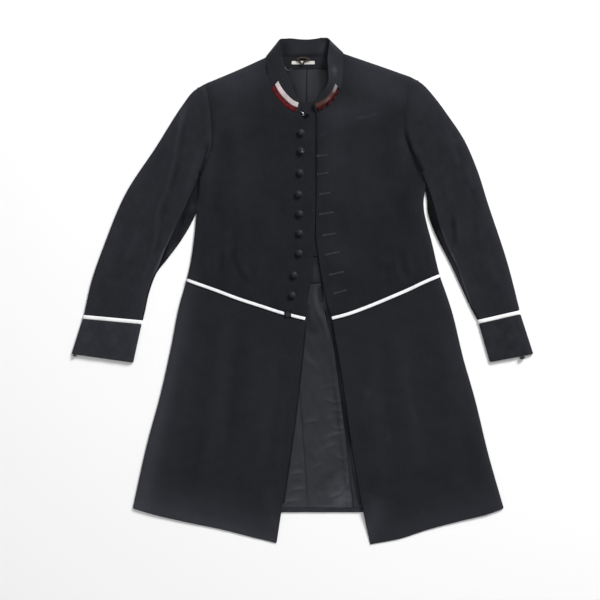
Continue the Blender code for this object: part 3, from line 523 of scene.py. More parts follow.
# painted highlights and painted shade on the lining: the shade of the fronts and the collar, the shadow of
# the left front's edge, and highlights on puckers
LINING_LIGHT_AND_SHADE_MARKS = [
    # from x, y, to x, y, bend, half width, paler by
    (24, 10, 44, -70, -3, 6, 0.14),  # painted highlight on the bulge at the waist
    (40, -60, 56, -110, 2, 5, 0.12),
    (37, 12, 42, -26, 0, 4.5, -0.55),  # the shade of the fronts at the waist
    # painted shadow of the left front's edge, beside the piping's end and down the left skirt
    (12, -26, 5, -76, 0, 6.5, -0.6),
    (10, -66, 26, -94, 0, 8, -0.20),
    (4, -80, -10, -210, 0, 2.4, -0.30),
    (-12, -230, -46, -466, 3, 2.2, -0.25),
    (9, 510, 12, 402, 0, 22, 0.28),  # the middle of the neck
    # painted highlights on puckers of the lower lining, and painted shade in hollows between them
    (-26, -396, 2, -392, 2, 4, 0.16),
    (-26, -436, 8, -426, 3, 4, 0.18),
    (-34, -452, -4, -456, 2, 4, 0.14),
    (52, -418, 104, -408, 0, 7, 0.10),
    (54, -448, 104, -438, -2, 14, 0.36),
    (64, -462, 110, -440, 0, 9, 0.20),
    (30, -440, 96, -384, -6, 9, 0.14),
    (24, -360, 70, -330, 4, 12, 0.10),
    (-30, -448, 4, -440, 0, 6, 0.10),
    (88, -404, 98, -470, 2, 8, 0.24),
    (78, -430, 82, -468, 2, 4, 0.20),
    (30, -464, 100, -468, 0, 6, 0.24),
    (2, -283, 34, -279, 1, 3.5, 0.14),
    (50, -276, 68, -268, 1, 5, 0.12),
    (40, -322, 92, -300, 4, 8, 0.10),
    (38, -402, 92, -372, -4, 7, -0.16),
    (36, -432, 62, -420, 2, 6, -0.14),
    (9, 500, 8, 350, 0, 1.3, -0.42),  # painted shade in the centre seam's groove
    # painted shadow under the neck facing's lower edge
    (-26, 477, 34, 477, 0, 1.6, -0.25),
    (-34, 480, -10, 410, 1, 3.2, -0.32),  # the shade under the collar's left end
    # painted shade under the collar's right end
    (80, 480, 50, 415, 4, 15, -0.26),
]


def relief(points, table):
    """Soft ridges, and troughs where the height is negative. Across each one the height falls as
    exp(-(distance / half width)²); along it, it swells and fades as the sine of half a turn. The
    middle of its line stands off by the bend."""
    total = np.zeros(points.shape[:-1])
    for x1, y1, x2, y2, bend, width, height in table:
        way = np.array([x2 - x1, y2 - y1], float)
        length = np.linalg.norm(way)
        way /= length
        off = points - np.array([x1, y1], float)
        along = np.clip((off @ way) / length, 0, 1)
        across = off @ np.array([-way[1], way[0]]) - bend * np.sin(np.pi * along)
        beyond = off @ way - along * length
        total += height * np.sin(np.pi * along) ** 0.7 * np.exp(-(across**2 + beyond**2) / width**2)
    return total


def drift(points, size, seed):
    """Aimless unevenness of about plus and minus 1: six plane waves, each turned by the golden angle
    from the last, with lengths from 0.6 to 1.8 times the size."""
    rng = np.random.default_rng(seed)
    total = np.zeros(points.shape[:-1])
    for k in range(6):
        angle = 2.39996 * k + rng.uniform(0, 0.6)
        length = size * (0.6 + 0.24 * k)
        wave = points @ np.array([np.cos(angle), np.sin(angle)]) / length
        total += np.sin(2 * np.pi * (wave + rng.uniform(0, 1)))
    return total / 3


def soft_step(value):
    """0 below 0, 1 above 1 and 3v² - 2v³ between."""
    value = np.clip(value, 0, 1)
    return value * value * (3 - 2 * value)


DARKEST = -0.2  # a value below 0 paints the cloth darker than its own colour, as shade


def wear_and_painted_light(obj, shade):
    """Stores, for each point of a piece, how much paler or darker its colour is painted, from its place in
    the tables: wear, and painted light and shade.
    """
    points = np.empty(3 * len(obj.data.vertices), np.float32)
    obj.data.vertices.foreach_get("co", points)
    flat = (points.reshape(-1, 3) - MIDDLE)[:, :2] / MM
    values = obj.data.attributes.new("wear_and_painted_light", "FLOAT", "POINT")
    values.data.foreach_set("value", np.clip(shade(flat), DARKEST, 1).astype(np.float32))


def lining_light_and_shade(points):
    """Paler towards the hem and darker in the painted shade of the fronts, with painted light and shade on
    its marks and a painted highlight on top of its puckers.
    """
    shade = np.interp(points[:, 1], *LINING_PALENESS_AND_SHADE) + relief(points, LINING_LIGHT_AND_SHADE_MARKS)
    return np.maximum(shade + PUCKER_HIGHLIGHT * relief(points, PUCKERS), DARKEST_LINING)


def shaded_fade(points):
    """The same for the strip beside the right skirt: darker than the lining, as painted shade, with painted
    light on its lit strips.
    """
    return np.interp(points[:, 1], *SHADED_FADE) + relief(points, SHADED_MARKS)


def satin(name, base, worn, specular=0.22):
    """Lining satin: fine diagonal lines, a soft gloss across them, rubbed paler patches, and the piece's
    painted light and shade.
    """
    made, nodes, links, shader = nodes_of(name)
    place = coordinates(nodes, links)
    patches_place = coordinates(nodes, links, stretch=(1.6, 0.8, 1))
    patches = noise(nodes, links, patches_place, scale=34.0, detail=4.0, rough=0.6)
    colour = blend_colours(nodes, links, patches, base, worn)
    links.new(colour_with_wear_and_painted_light(nodes, links, colour, LINING_PALE), shader.inputs["Base Color"])
    lines = ribs(nodes, links, coordinates(nodes, links, turn=np.radians(40)), pitch=0.0007)
    under = bump(nodes, links, lines, distance=0.00004)
    soft = noise(nodes, links, place, scale=240.0, detail=3.0)
    links.new(bump(nodes, links, soft, distance=0.00025, below=under), shader.inputs["Normal"])
    gloss(shader, roughness=0.37, specular=specular, sheen=0.03)
    shader.inputs["Anisotropic"].default_value = 0.3
    shader.inputs["Sheen Tint"].default_value = (0.8, 0.8, 0.85, 1)
    return made


LINING_SATIN = satin("lining_satin", LINING, LINING_WORN)
# painted light and shade on the waist stay and the neck facing
INSIDE_LIGHT_AND_SHADE_MARKS = [
    # from x, y, to x, y, bend, half width, paler by
    (-20, 50, 80, 34, 0, 26, 0.10),  # the waist stay
    # painted light on the stay's visible strip, and the painted shadow of the left front's edge beside it
    (28, 60, 28, 16, 0, 4, 0.22),
    (17, 76, 17, 12, 0, 1.5, -0.20),
    (36, 520, 60, 470, 0, 12, 0.30),  # painted light that lifts the shade at the neck facing's right end
]
# a darker, less glossy copy of the lining satin for the strip beside the right skirt: painted shade of that
# skirt's edge
SHADED_SATIN = satin("shaded_satin", (0.0022, 0.0025, 0.0042), (0.0060, 0.0066, 0.0096), 0.12)
INNER_WOOL = wool("inner_wool", (0.0105, 0.0110, 0.0134), (0.0150, 0.0157, 0.0188))
HEM_WOOL = wool("hem_wool", (0.018, 0.019, 0.0235), (0.028, 0.029, 0.035))


def strip_grid(rows, left, right, count_along, count_across):
    """The strip between two columns of a table whose first column is y."""
    table = np.array(rows, float)
    sides = [even_line(np.stack([table[:, k], table[:, 0]], axis=1), count_along) for k in (left, right)]
    return drawn_in(ruled(*sides, crowded(count_across, 0.5)), LINING_WALL / 2 + 0.1)


def pleat_distance(grid):
    """How far each point lies to the right of the edge of the skirt lining's pleat."""
    return grid[..., 0] - np.interp(-grid[..., 1], *PLEAT_EDGE)


def gathers(grid):
    """The small gathers of the hand sewing, beside the pleat's edge and along the hem: sine waves whose
    phase wanders. The pleat's come and go, and start 90 mm below the waist."""
    x, y = grid[..., 0], grid[..., 1]
    pleat = np.sin(y / 2.3 + 3 * np.sin(y / 19) + 2 * np.sin(x / 7))
    pleat = pleat * (0.5 + 0.5 * np.sin(y / 23 + 1)) * soft_step((-90 - y) / 120)
    pleat = pleat * np.exp(-(((pleat_distance(grid) + 8) / 9) ** 2))
    hem = np.sin(x / 1.45 + 2 * np.sin(x / 19)) * np.exp(-(((y + 464) / 13) ** 2))
    return pleat, hem


def inner_panel(name, grid, finish, slot, lift=0.0, uneven=0.25, seed=3):
    """A flat inner panel with its puckers, on the back's inside. Its seams are pulled down a little, and
    the skirt's middle panel stands up along its pleat."""
    waves = PUCKER_SCALE * relief(grid, PUCKERS) + uneven * drift(grid, 38, seed)
    height = LINING_FLOOR + lift + LINING_WALL + np.maximum(waves, -FLOOR_LIFT)
    columns = np.arange(grid.shape[1])
    from_side = np.minimum(columns, columns[::-1])[None] / len(columns)
    height = height - SEAM_PULL * np.exp(-((from_side / SEAM_REACH) ** 2))
    if name.startswith("skirt"):
        pleat, hem = gathers(grid)
        height = height + PLEAT_GATHER * pleat * (name != "skirt_lining_right") + HEM_GATHER * hem
    if name == "skirt_lining_middle":
        below = soft_step((-110 - grid[..., 1]) / 110)
        rise = PLEAT_RISE + PLEAT_RISE_LOW * below
        height = height + rise * np.exp(-(((pleat_distance(grid) + 6) / 7) ** 2))
    grid = outward(raised(grid, height))
    obj = piece(name, [cloth_wall(grid, LINING_WALL)], finish, [name])
    if slot == "lining":
        wear_and_painted_light(obj, shaded_fade if name == "skirt_lining_right" else lining_light_and_shade)
    elif name != "back_hem":
        wear_and_painted_light(obj, lambda points: relief(points, INSIDE_LIGHT_AND_SHADE_MARKS))


for column, side in ((1, "left"), (2, "right")):
    grid = strip_grid(NECK_LINING, column, column + 1, 120, 30)
    inner_panel(f"neck_lining_{side}", grid, LINING_SATIN, "lining")
for column, place, back, count, finish in (
    (1, "left", "left", 24, LINING_SATIN),
    (2, "middle", "right", 44, LINING_SATIN),
    (3, "right", "right", 20, SHADED_SATIN),
):
    grid = strip_grid(SKIRT_LINING, column, column + 1, 180, count)
    inner_panel(f"skirt_lining_{place}", grid, finish, "lining", uneven=0.4, seed=5)
STAY = [(73.5, -14, 66), (17, -16, 72)]  # y, left side, right side
stay = strip_grid(STAY, 1, 2, 24, 40)
inner_panel("waist_stay", stay, INNER_WOOL, "wool_inside", lift=0.3)
FACING_LOW = 478  # y of its lower edge
FACING_UNDER = 9.0  # how far it goes under the collar
facing_x = np.linspace(-62, 80, 60)
neck_line = even_line(NECK_BACK, 60)
facing_top = np.interp(facing_x, neck_line[:, 0], neck_line[:, 1]) + FACING_UNDER
low, high = (np.stack([facing_x, 0 * facing_x + y], axis=1) for y in (FACING_LOW, facing_top))
v = np.linspace(0, 1, 10)[:, None, None]
facing = (1 - v) * low + v * high
inner_panel("neck_facing", facing, INNER_WOOL, "wool_inside", lift=0.2)
HEM_BAND = [(-467, -70, 150), (-476, -72, 152)]
hem_band = strip_grid(HEM_BAND, 1, 2, 10, 90)
inner_panel("back_hem", hem_band, HEM_WOOL, "wool_inside", lift=0.5, uneven=0.1)

# Fronts: two canvassed wool fronts that meet at the middle. Each is pressed flat, rounds over at its
# shoulder and side folds, where it turns under, and dips into the seams that it is sewn in.
FRONT_WALL = 2.4
LAID_HEIGHT = 8.2  # of the outer face where the cloth lies flat
EDGE_HEIGHT = 2.6  # of the outer face at a fold
FOLD_ROUND = 14.0  # how far from a fold the cloth rounds over
NECK_LIFT = 3.6  # how much higher a fold stands beside the collar
NECK_REACH = 32
WAIST_DIP = 0.9  # the depth of the ditch on both sides of the waist piping
SEWN_IN = 0.85  # the rims stand this far inside a seam, so that two of them touch in a shallow groove
SLEEVE_OUTER = {
    "left": [
        (-210, 446), (-238, 427), (-257, 402), (-315, 311), (-382, 208), (-425, 105), (-455, 19), (-471, -52),
    ],
    "right": [
        (233, 461), (260, 444), (283, 419), (315, 376), (347, 328), (377, 260), (399, 191), (444, 53),
        (468, -41),
    ],
}
SLEEVE_INNER = {
    "left": [(-229, 165), (-242, 139), (-263, 105), (-289, 70), (-315, 36), (-328, 2), (-342, -63)],
    "right": [
        (264.5, 213), (268, 194), (269, 172), (278, 140), (294, 104), (312, 70), (336, 19), (360, -33),
        (375, -63),
    ],
}
SLEEVE_SEAM = {
    "left": [
        (-223, 249), (-242, 204), (-276, 131), (-299, 79), (-307, 57), (-318.5, 36), (-331.5, 2), (-345, -63),
    ],
    "right": [
        (255, 258), (275, 207), (292, 148), (310, 92), (331, 55), (346, 10), (357.5, -20), (378, -63),
    ],
}
LOWER_ARMHOLE = {
    "left": [(-229, 165), (-228, 207), (-223, 249)],
    "right": [(264.5, 213), (262, 235), (255, 258)],
}
WAIST = {
    "left": [(-250, 24), (-234, 18), (-186, 1), (-141, -16), (-89, -33), (-42, -48), (6, -60)],
    "right": [(296, 33), (263, 19), (227, 2), (185, -16), (144, -33), (94, -51), (63, -59)],
}
FRONT_EDGE = {
    "left": [(6, -60), (13, -9), (18, 21), (22, 70), (26, 131), (27, 238), (27, 383)],
    "right": [
        (63, -59), (51, -20), (42, 23), (34, 75), (29, 113), (29, 152), (30, 217), (30, 303), (30, 383),
    ],
}
NECK_FRONT = {
    "left": [(-6, 381), (-22, 386), (-42, 401), (-61, 424), (-73, 455), (-78, 503)],
    "right": [(30, 383), (52, 394), (71, 413), (83, 438), (87, 468), (88, 511)],
}
SKIRT_EDGE = {
    "left": [(-56, -543), (-46, -476), (-36, -407), (-18, -278), (-3, -149), (6, -60)],
    "right": [(146, -546), (132, -480), (119, -415), (104, -321), (92, -235), (80, -157), (63, -59)],
}
SKIRT_HEM = {
    "left": [(-366, -468), (-326, -480), (-255, -497), (-173, -514), (-102, -532), (-56, -543)],
    "right": [(434, -468), (401, -480), (334, -497), (270, -514), (216, -532), (146, -546)],
}
CUFF_END = {"left": [(-498, -136), (-363, -155)], "right": [(498, -136), (402, -154)]}
CUFF_PIPING = {"left": [(-473, -56), (-344, -68)], "right": [(469, -46), (377, -67)]}
CUFF_PIPING_WIDTH = 9.0
PIPING_WIDTH = 8.6
EDGE_LIFT = {"left": 1.6, "right": 4.0}  # how much higher each skirt stands along its free edge
EDGE_REACH = 45  # how far from that edge it does
FALL_START = 45  # so far above the back's hem the upper layer starts to fall
FALL_LONG = 110  # and over so many millimetres it comes down to the floor
BODICE_COUNTS = {"left": (56, 30), "right": (68, 18)}  # points along the side seam and lower armhole
CREASES = [
    # from x, y, to x, y, bend, half width, height
    (-246, 396, -266, 290, -2, 5.0, -1.5),  # left sleeve, from the cap down its middle
    (-264, 304, -292, 192, 2, 5.0, -1.6),
    (-290, 208, -306, 138, -2, 5.0, -1.2),
    (-255, 398, -276, 288, -2, 5.0, 1.5),
    (-274, 304, -301, 194, 3, 5.0, 1.6),
    (-299, 208, -318, 138, -2, 5.0, 1.3),
    (-312, 152, -331, 62, 2, 5.5, 1.4),
    (-304, 140, -322, 70, 2, 5.5, -0.9),
    (-222, 306, -256, 206, 2, 8, 1.2),
    (-330, 74, -348, 10, 2, 6, 1.0),
    (-322, 240, -346, 150, 6, 10, 0.9),
    (-300, 330, -330, 240, 5, 9, -0.6),
    (-358, 130, -384, 60, 6, 9, 0.8),
    (-392, 150, -424, 30, -6, 14, 0.9),
    (-350, 20, -372, -44, 4, 8, 0.6),
    (-370, 10, -440, 26, 5, 8, 0.5),
    (-376, -20, -452, -34, -4, 7, -0.4),
    (317, 172, 322, 88, 3, 5.5, -1.6),  # right elbow
    (300, 250, 318, 176, 3, 7, 0.7),
    (286, 330, 296, 262, 4, 7, -0.6),
    (352, 236, 372, 176, 5, 7, -0.7),
    (329, 166, 334, 96, 3, 6, 1.5),
    (364, 158, 370, 88, 3, 6, -0.5),
    (378, 156, 384, 76, 3, 7, 0.6),
    (346, 150, 352, 84, -3, 8, 0.6),
    (300, 360, 340, 236, 6, 12, 1.2),
    (326, 318, 340, 250, 6, 7, -1.3),
    (344, 280, 366, 200, 5, 8, 0.8),
    (270, 420, 282, 300, 6, 9, 0.6),
    (392, 70, 420, 8, 4, 9, 0.7),
    (410, 30, 446, -24, 4, 8, 0.6),
    (346, 8, 392, -16, 4, 6, 0.5),
    (340, 60, 356, 6, -3, 5, 0.6),
    (-120, 330, -150, 150, 10, 38, 1.2),  # chest
    (130, 340, 150, 150, -10, 38, 1.2),
    (-186, 380, -196, 300, 4, 8, 0.7),
    (210, 370, 214, 300, -4, 8, 0.7),
    (-144, 132, -151, 70, 1, 6, -0.8),  # folds above the left waist seam
    (-151, 88, -122, 16, -6, 5, -1.0),
    (-163, 134, -164, 58, 1, 6, 0.7),
    (-128, 66, -112, 22, -3, 6, 0.9),
    (-176, 84, -178, 24, 3, 6, -0.7),
    (-190, 90, -194, 24, 3, 6, 0.7),
    (-90, 76, -104, 6, 3, 7, 0.6),
    (-204, 96, -212, 26, 4, 8, 0.6),
    (200, 86, 214, 16, -4, 6.5, 1.0),  # and above the right one
    (214, 88, 226, 22, -4, 5, -0.9),
    (228, 92, 240, 30, -3, 6, 0.8),
    (176, 66, 186, -2, 3, 6, -0.6),
    (252, 100, 262, 40, -3, 8, 0.5),
    (112, 367, 140, 372, 2, 2.4, 0.9),  # a short pressed mark on the right chest
    (138, 373, 162, 384, -2, 2.2, 0.8),
    (-10, 70, 26, 70, 0.5, 1.6, -0.6),  # the left front's edge is bent at the waist stay
    (-210, 240, -172, 120, 6, 14, -0.9),
    (236, 250, 206, 130, -6, 14, -0.8),
    (-60, 230, -70, 90, -4, 16, 0.5),
    (90, 230, 110, 90, 4, 16, 0.5),
    (-160, -60, -214, -400, 8, 24, 1.4),  # flutes of the skirt
    (-130, -60, -160, -380, -6, 14, -0.9),
    (-70, -120, -104, -430, 6, 20, 1.2),
    (-232, -90, -300, -420, 8, 20, 1.1),
    (-196, -260, -244, -450, -6, 12, -0.8),
    (-40, -180, -62, -420, 4, 9, 0.6),
    (-68, -168, -60, -222, 3, 6, 0.8),
    (-167, -70, -170, -104, 2, 6, 0.7),
    (-112, -210, -124, -300, 4, 8, 0.5),
    (150, -90, 176, -430, -8, 18, 1.1),
    (200, -70, 250, -400, 8, 24, 1.4),
    (226, -110, 262, -330, -4, 12, -0.9),
    (300, -60, 350, -380, 6, 20, 1.2),
    (326, -240, 376, -440, 6, 13, -0.8),
    (110, -240, 150, -470, 4, 11, -0.6),
    (132, -250, 150, -200, 3, 6, 0.6),
    (168, -262, 176, -226, 2, 5, 0.6),
    (183, -296, 184, -330, 2, 5, 0.7),
    (128, -206, 134, -232, 2, 5, 0.6),
]
CREASE_SCALE = 1.4
CREASE_HIGHLIGHT_AND_WEAR = 0.045  # a crease of 1 mm is this much paler on top: painted highlight, with the nap rubbed there
# paler and darker marks on the wool: painted light and shade, with some wear
WOOL_LIGHT_AND_WEAR_MARKS = [
    # from x, y, to x, y, bend, half width, paler by
    (-70, 494, -215, 424, 0, 48, 0.33),  # shoulders, painted light on their upper slopes
    (86, 496, 232, 426, 0, 44, 0.31),
    (-176, 404, -110, 338, 0, 30, 0.10),
    (24, 380, 186, 388, 0, 28, 0.18),
    (72, 420, 66, 180, 0, 26, 0.15),
    # painted shade beside the gap where the fronts meet
    (30, 404, 29, 190, 0, 5, -0.10),
    (40, 120, 130, 44, 0, 30, 0.10),
    (-196, 350, -200, 180, 0, 14, 0.14),
    (212, 350, 222, 250, 0, 10, 0.10),
    (196, 446, 226, 392, 0, 18, 0.10),
    (-248, 408, -262, 350, -2, 9, 0.22),  # left sleeve, painted highlights along its creases
    (-262, 360, -277, 290, -2, 5, 0.07),
    (-300, 206, -318, 140, -2, 5, 0.06),
    (-222, 306, -256, 206, 2, 8, 0.06),
    (-350, 152, -386, 56, 3, 9, 0.08),
    (-272, 142, -300, 80, 0, 2.6, 0.24),  # the lit edges beside the front seams
    (-280, 128, -306, 66, 1, 2.0, 0.30),
    (-297, 92, -321, 32, 1, 1.6, 1.7),
    (300, 136, 330, 60, -2, 1.8, 0.30),
    (320, 84, 366, -40, 0, 1.7, 1.9),
    (240, 440, 262, 380, 4, 16, 0.12),  # right sleeve head
    (-200, 330, -230, 226, 3, 3.4, -0.34),  # painted shade in the dark lower ends of the armholes
    (-221, 262, -226, 186, 0, 2.6, -0.30),
    (220, 350, 262, 232, -3, 4.2, -0.34),
    (0, 372, 14, 378, 0, 3.4, -1.0),  # the shade under the collar's hook
    # painted highlights on the short pressed mark on the right chest
    (112, 367, 140, 372, 2, 2.6, 0.14),
    (138, 373, 162, 384, -2, 2.4, 0.12),
    (-240, 70, -380, -600, 0, 28, 0.42),  # skirts: painted light over the lower skirts and hems, and painted highlights on small folds
    (-498, -429, 75, -572, 0, 54, 0.38),
    (-498, -429, 75, -572, 0, 14, 0.16),
    (-70, -420, -50, -550, 0, 16, 0.14),
    (29, -576, 549, -434, 0, 44, 0.23),
    (120, -560, 170, -440, 0, 26, 0.34),
    (-168, -290, -170, -330, 0, 7, 0.06),
    (180, -296, 186, -330, 0, 5, 0.08),
    (230, -240, 244, -290, 2, 6, 0.07),
    (130, -250, 150, -206, 0, 6, 0.07),
    (-90, -100, -112, -260, 4, 16, 0.04),
    (-52, 541, -80, 500, -2, 9, 0.28),  # collar
    (60, 541, 90, 512, 3, 12, 0.34),
    (60, 474, 77, 472, 0, 5.5, 0.42),
    (66, 488, 70, 456, 1, 4.0, 0.30),
    (64, 470, 72, 440, 1, 6, 0.10),
    (56, 500, 57, 440, 2, 3.5, 0.14),
    # painted shadow under the roll of the collar's back, and at its back's left end
    (-46, 505, 60, 507, 0, 4.5, -0.32),
    (-40, 542, -36, 496, 0, 10, -0.24),
    # painted light in the shade at the right end of the collar's back
    (40, 536, 50, 486, 0, 8, 0.22),
]
TROUGHS = [
    # seam, half width, depth at its start, depth at its end
    (ARMHOLE, 4.0, 3.6, 0.5),
    (SLEEVE_SEAM, 2.0, 0.8, 0.0),
    (NECK_FRONT, 3.0, 0.8, 0.4),
]


def cuff_lines(side):
    """The two edges of the cuff's piping, each as (outer fold, inner fold) points."""
    middle = np.array(CUFF_PIPING[side], float)
    away = np.array(CUFF_END[side], float).mean(axis=0) - middle.mean(axis=0)
    half = CUFF_PIPING_WIDTH / 2 * away / np.linalg.norm(away)
    return middle - half, middle + half


def fold_lines():
    """The coat's folded outline, where its upper layer turns under."""
    lines = []
    for side in ("left", "right"):
        start, end = cuff_lines(side)
        cuff = np.array(CUFF_END[side], float)
        sleeve = even_line(SLEEVE_OUTER[side], 60)[:-1]
        lines.append(np.concatenate([even_line(SHOULDER[side], 16), sleeve, [start[0], end[0], cuff[0]]]))
        inner_sleeve = even_line(SLEEVE_INNER[side], 50)[-2::-1]
        body = [even_line(SIDE[side], 24)[::-1], even_line(SKIRT_SIDE[side], 40)[::-1]]
        lines.append(np.concatenate([[cuff[1], end[1], start[1]], inner_sleeve, *body]))
    return lines


def to_lines(points, lines):
    """Distance from each point to the nearest of the lines, and how far along that line it is, as a
    share of its parts."""
    starts = np.concatenate([line[:-1] for line in lines])
    steps = np.concatenate([np.diff(line, axis=0) for line in lines])
    rank = np.concatenate([np.arange(len(line) - 1) / (len(line) - 1) for line in lines])
    span = np.concatenate([np.full(len(line) - 1, 1 / (len(line) - 1)) for line in lines])
    length = np.maximum((steps**2).sum(axis=1), 1e-9)
    distances, shares = [], []
    for some in np.array_split(points.reshape(-1, 2), max(1, points.size // 8000)):
        off = some[:, None] - starts
        share = np.clip((off * steps).sum(axis=2) / length, 0, 1)
        away = np.linalg.norm(off - share[..., None] * steps, axis=2)
        nearest = away.argmin(axis=1)
        every = np.arange(len(some))
        distances.append(away[every, nearest])
        shares.append(rank[nearest] + share[every, nearest] * span[nearest])
    shape = points.shape[:-1]
    return np.concatenate(distances).reshape(shape), np.concatenate(shares).reshape(shape)


FOLDS = fold_lines()
EDGE_LINES = {side: even_line(line, 40) for side, line in SKIRT_EDGE.items()}
SEAMS = [(even_line(seam[side], 40), *depths) for side in ("left", "right") for seam, *depths in TROUGHS]


def upper_face(points, piped=False):
    """Height of the upper layer's outer face. It is flat where it lies, rounds down to the folds as a
    quarter of an ellipse, and stands higher beside the collar and along the skirts' free edges. Creases
    and aimless unevenness are added, seams are troughs, and past the back's hem it falls to the floor."""
    inward, _ = to_lines(points, FOLDS)
    share = np.clip(inward / FOLD_ROUND, 0, 1)
    edge = EDGE_HEIGHT
    for side in ("left", "right"):
        off = np.linalg.norm(points - np.array(SHOULDER[side][0], float), axis=-1)
        edge = edge + NECK_LIFT * np.exp(-((off / NECK_REACH) ** 2))
    height = edge + (LAID_HEIGHT - edge) * np.sqrt(1 - (1 - share) ** 2)
    uneven = CREASE_SCALE * relief(points, CREASES)
    uneven = uneven + 0.4 * drift(points, 62, 11) + 0.22 * drift(points, 24, 12)
    height = height + soft_step((inward - 2) / 26) * uneven
    for side, lift in EDGE_LIFT.items():
        off, _ = to_lines(points, [EDGE_LINES[side]])
        height = height + lift * soft_step((-60 - points[..., 1]) / 120) * soft_step(1 - off / EDGE_REACH)
    for line, width, first, last in SEAMS:
        off, at = to_lines(points, [line])
        depth = last + (first - last) * (1 - at) ** 2
        height = height - soft_step(inward / 9) * depth * np.exp(-((off / width) ** 2))
    if not piped:
        for side in ("left", "right"):
            off, _ = to_lines(points, [even_line(WAIST[side], 30)])
            dip = WAIST_DIP * np.exp(-(((off - PIPING_WIDTH / 2) / 2.2) ** 2))
            height = height - dip * soft_step(inward / 6)
    hem = np.array(BACK_HEM, float)
    below = np.interp(points[..., 0], hem[:, 0], hem[:, 1]) - points[..., 1]
    fall = soft_step((below + FALL_START) / FALL_LONG)
    return (1 - fall) * height + fall * np.minimum(height, FRONT_WALL + 0.6 + 0.3 * drift(points, 40, 13))


def on_cloth(points, rise=0.0, piped=False):
    """Flat points on the upper layer's outer face, or above it."""
    return raised(points, upper_face(points, piped) + rise)


def at_folds(grid):
    """1 on the coat's folds, falling to 0 within 4 mm of them."""
    return 1 - soft_step((to_lines(grid[..., :2], FOLDS)[0] - 1.0) / 3.0)


def wool_wear_and_painted_light(level, margins, reach, uneven=0.0):
    """The paleness of a wool piece: its level, paler along its folds as painted sheen and wear, painted
    light, shade and wear on its marks, a painted highlight with rubbed nap on top of creases, and a little
    uneven."""
    def shade(points):
        inward, _ = to_lines(points, FOLDS)
        ridges = relief(points, WOOL_LIGHT_AND_WEAR_MARKS) + CREASE_HIGHLIGHT_AND_WEAR * CREASE_SCALE * relief(points, CREASES)
        patches = uneven * (drift(points, 30, 51) + 0.5 * drift(points, 11, 52))
        return level + margins * np.exp(-inward / reach) + ridges + patches
    return shade


def waist_line(side, offset, shares):
    """The waist seam, moved up the body by the offset."""
    return shifted(smooth_line(WAIST[side], shares), -SIGN[side] * offset)


def front_bodice(side):
    """The front's outline is side seam and armhole on one side, front edge on the other, and shoulder and
    neck on top; the surface between is a Coons patch laid on the upper face."""
    side_count, lower_count = BODICE_COUNTS[side]
    lower = even_line(LOWER_ARMHOLE[side], lower_count)[1:]
    outer = np.concatenate([even_line(SIDE[side], side_count), lower, even_line(ARMHOLE[side], 84)[1:]])
    neck = even_line(NECK_FRONT[side][::-1], 54)[1:]
    top = [even_line(SHOULDER[side][::-1], 50), neck]
    if side == "left":
        to_edge = np.array(FRONT_EDGE[side][-1]) - neck[-1]
        top.append(neck[-1] + np.linspace(0, 1, 12)[1:, None] * to_edge)
    top = np.concatenate(top)
    u = share_of(top)
    bottom = waist_line(side, PIPING_WIDTH / 2, u)
    outer[0] = bottom[0]
    v = share_of(outer)
    edge = smooth_line(FRONT_EDGE[side], v)
    edge[0] = bottom[-1]
    grid = outward(on_cloth(drawn_in(patch(outer, edge, bottom, top, u, v), SEWN_IN)))
    name = f"front_bodice_{side}"
    obj = piece(name, [cloth_wall(grid, FRONT_WALL, at_folds(grid))], OUTER_WOOL, [name])
    wear_and_painted_light(obj, wool_wear_and_painted_light(0.085, margins=0.24, reach=9.0, uneven=0.008))
    return obj, grid


def front_skirt(side):
    """The same between the skirt's side, its free edge, the hem and the waist seam."""
    v, u = np.linspace(0, 1, 210), crowded(104, 0.4)
    outer = smooth_line(SKIRT_SIDE[side], v)
    edge = smooth_line(SKIRT_EDGE[side], v)
    top = waist_line(side, -PIPING_WIDTH / 2, u)
    outer[-1], edge[-1] = top[0], top[-1]
    bottom = smooth_line(SKIRT_HEM[side], u)
    grid = outward(on_cloth(drawn_in(patch(outer, edge, bottom, top, u, v), SEWN_IN)))
    name = f"front_skirt_{side}"
    obj = piece(name, [cloth_wall(grid, FRONT_WALL, at_folds(grid))], OUTER_WOOL, [name])
    wear_and_painted_light(obj, wool_wear_and_painted_light(0.135, margins=0.26, reach=11.0))


for side in ("left", "right"):
    front_bodice(side)
    front_skirt(side)

# Underlap: the left front's inner edge, a strip of its own cloth that reaches under the right front and
# closes the gap between them. Its dark cloth also stands in for the shade in that gap.
UNDERLAP = [
    # y, left side, right side
    (405, -3, 28),
    (394, -3, 36),
    (384, 0, 40),
    (372, 10, 40),
    (300, 12, 40),
    (217, 12, 40),
    (150, 10, 40),
    (90, 6, 40),
    (74, 4, 38),
]
UNDERLAP_WALL = 1.0
UNDERLAP_RISE = 2.5  # from the height that the linings lie at
underlap_grid = strip_grid(UNDERLAP, 1, 2, 90, 14)
underlap_height = LINING_FLOOR + UNDERLAP_RISE + 0.1 * drift(underlap_grid, 40, 23)
underlap_grid = outward(raised(underlap_grid, underlap_height))
underlap = piece("underlap", [cloth_wall(underlap_grid, UNDERLAP_WALL)], INNER_WOOL)

# Skirt facings: the fronts' turned-in edges, thin strips of the inner side's wool that show a few
# millimetres past each skirt's free edge, felled to it.
FACING_WALL = 0.6
FACING_START = 0.18  # shares of the skirt's free edge, from the hem
FACING_LONG = 0.8
FACING_SHOWS = 4.0
FACING_HIDES = 22.0
FACING_FALL = (0.1, 0.3, 0.5)  # how much lower its last three columns hang
FACING_LEAST = 0.9  # the least height of its outer face
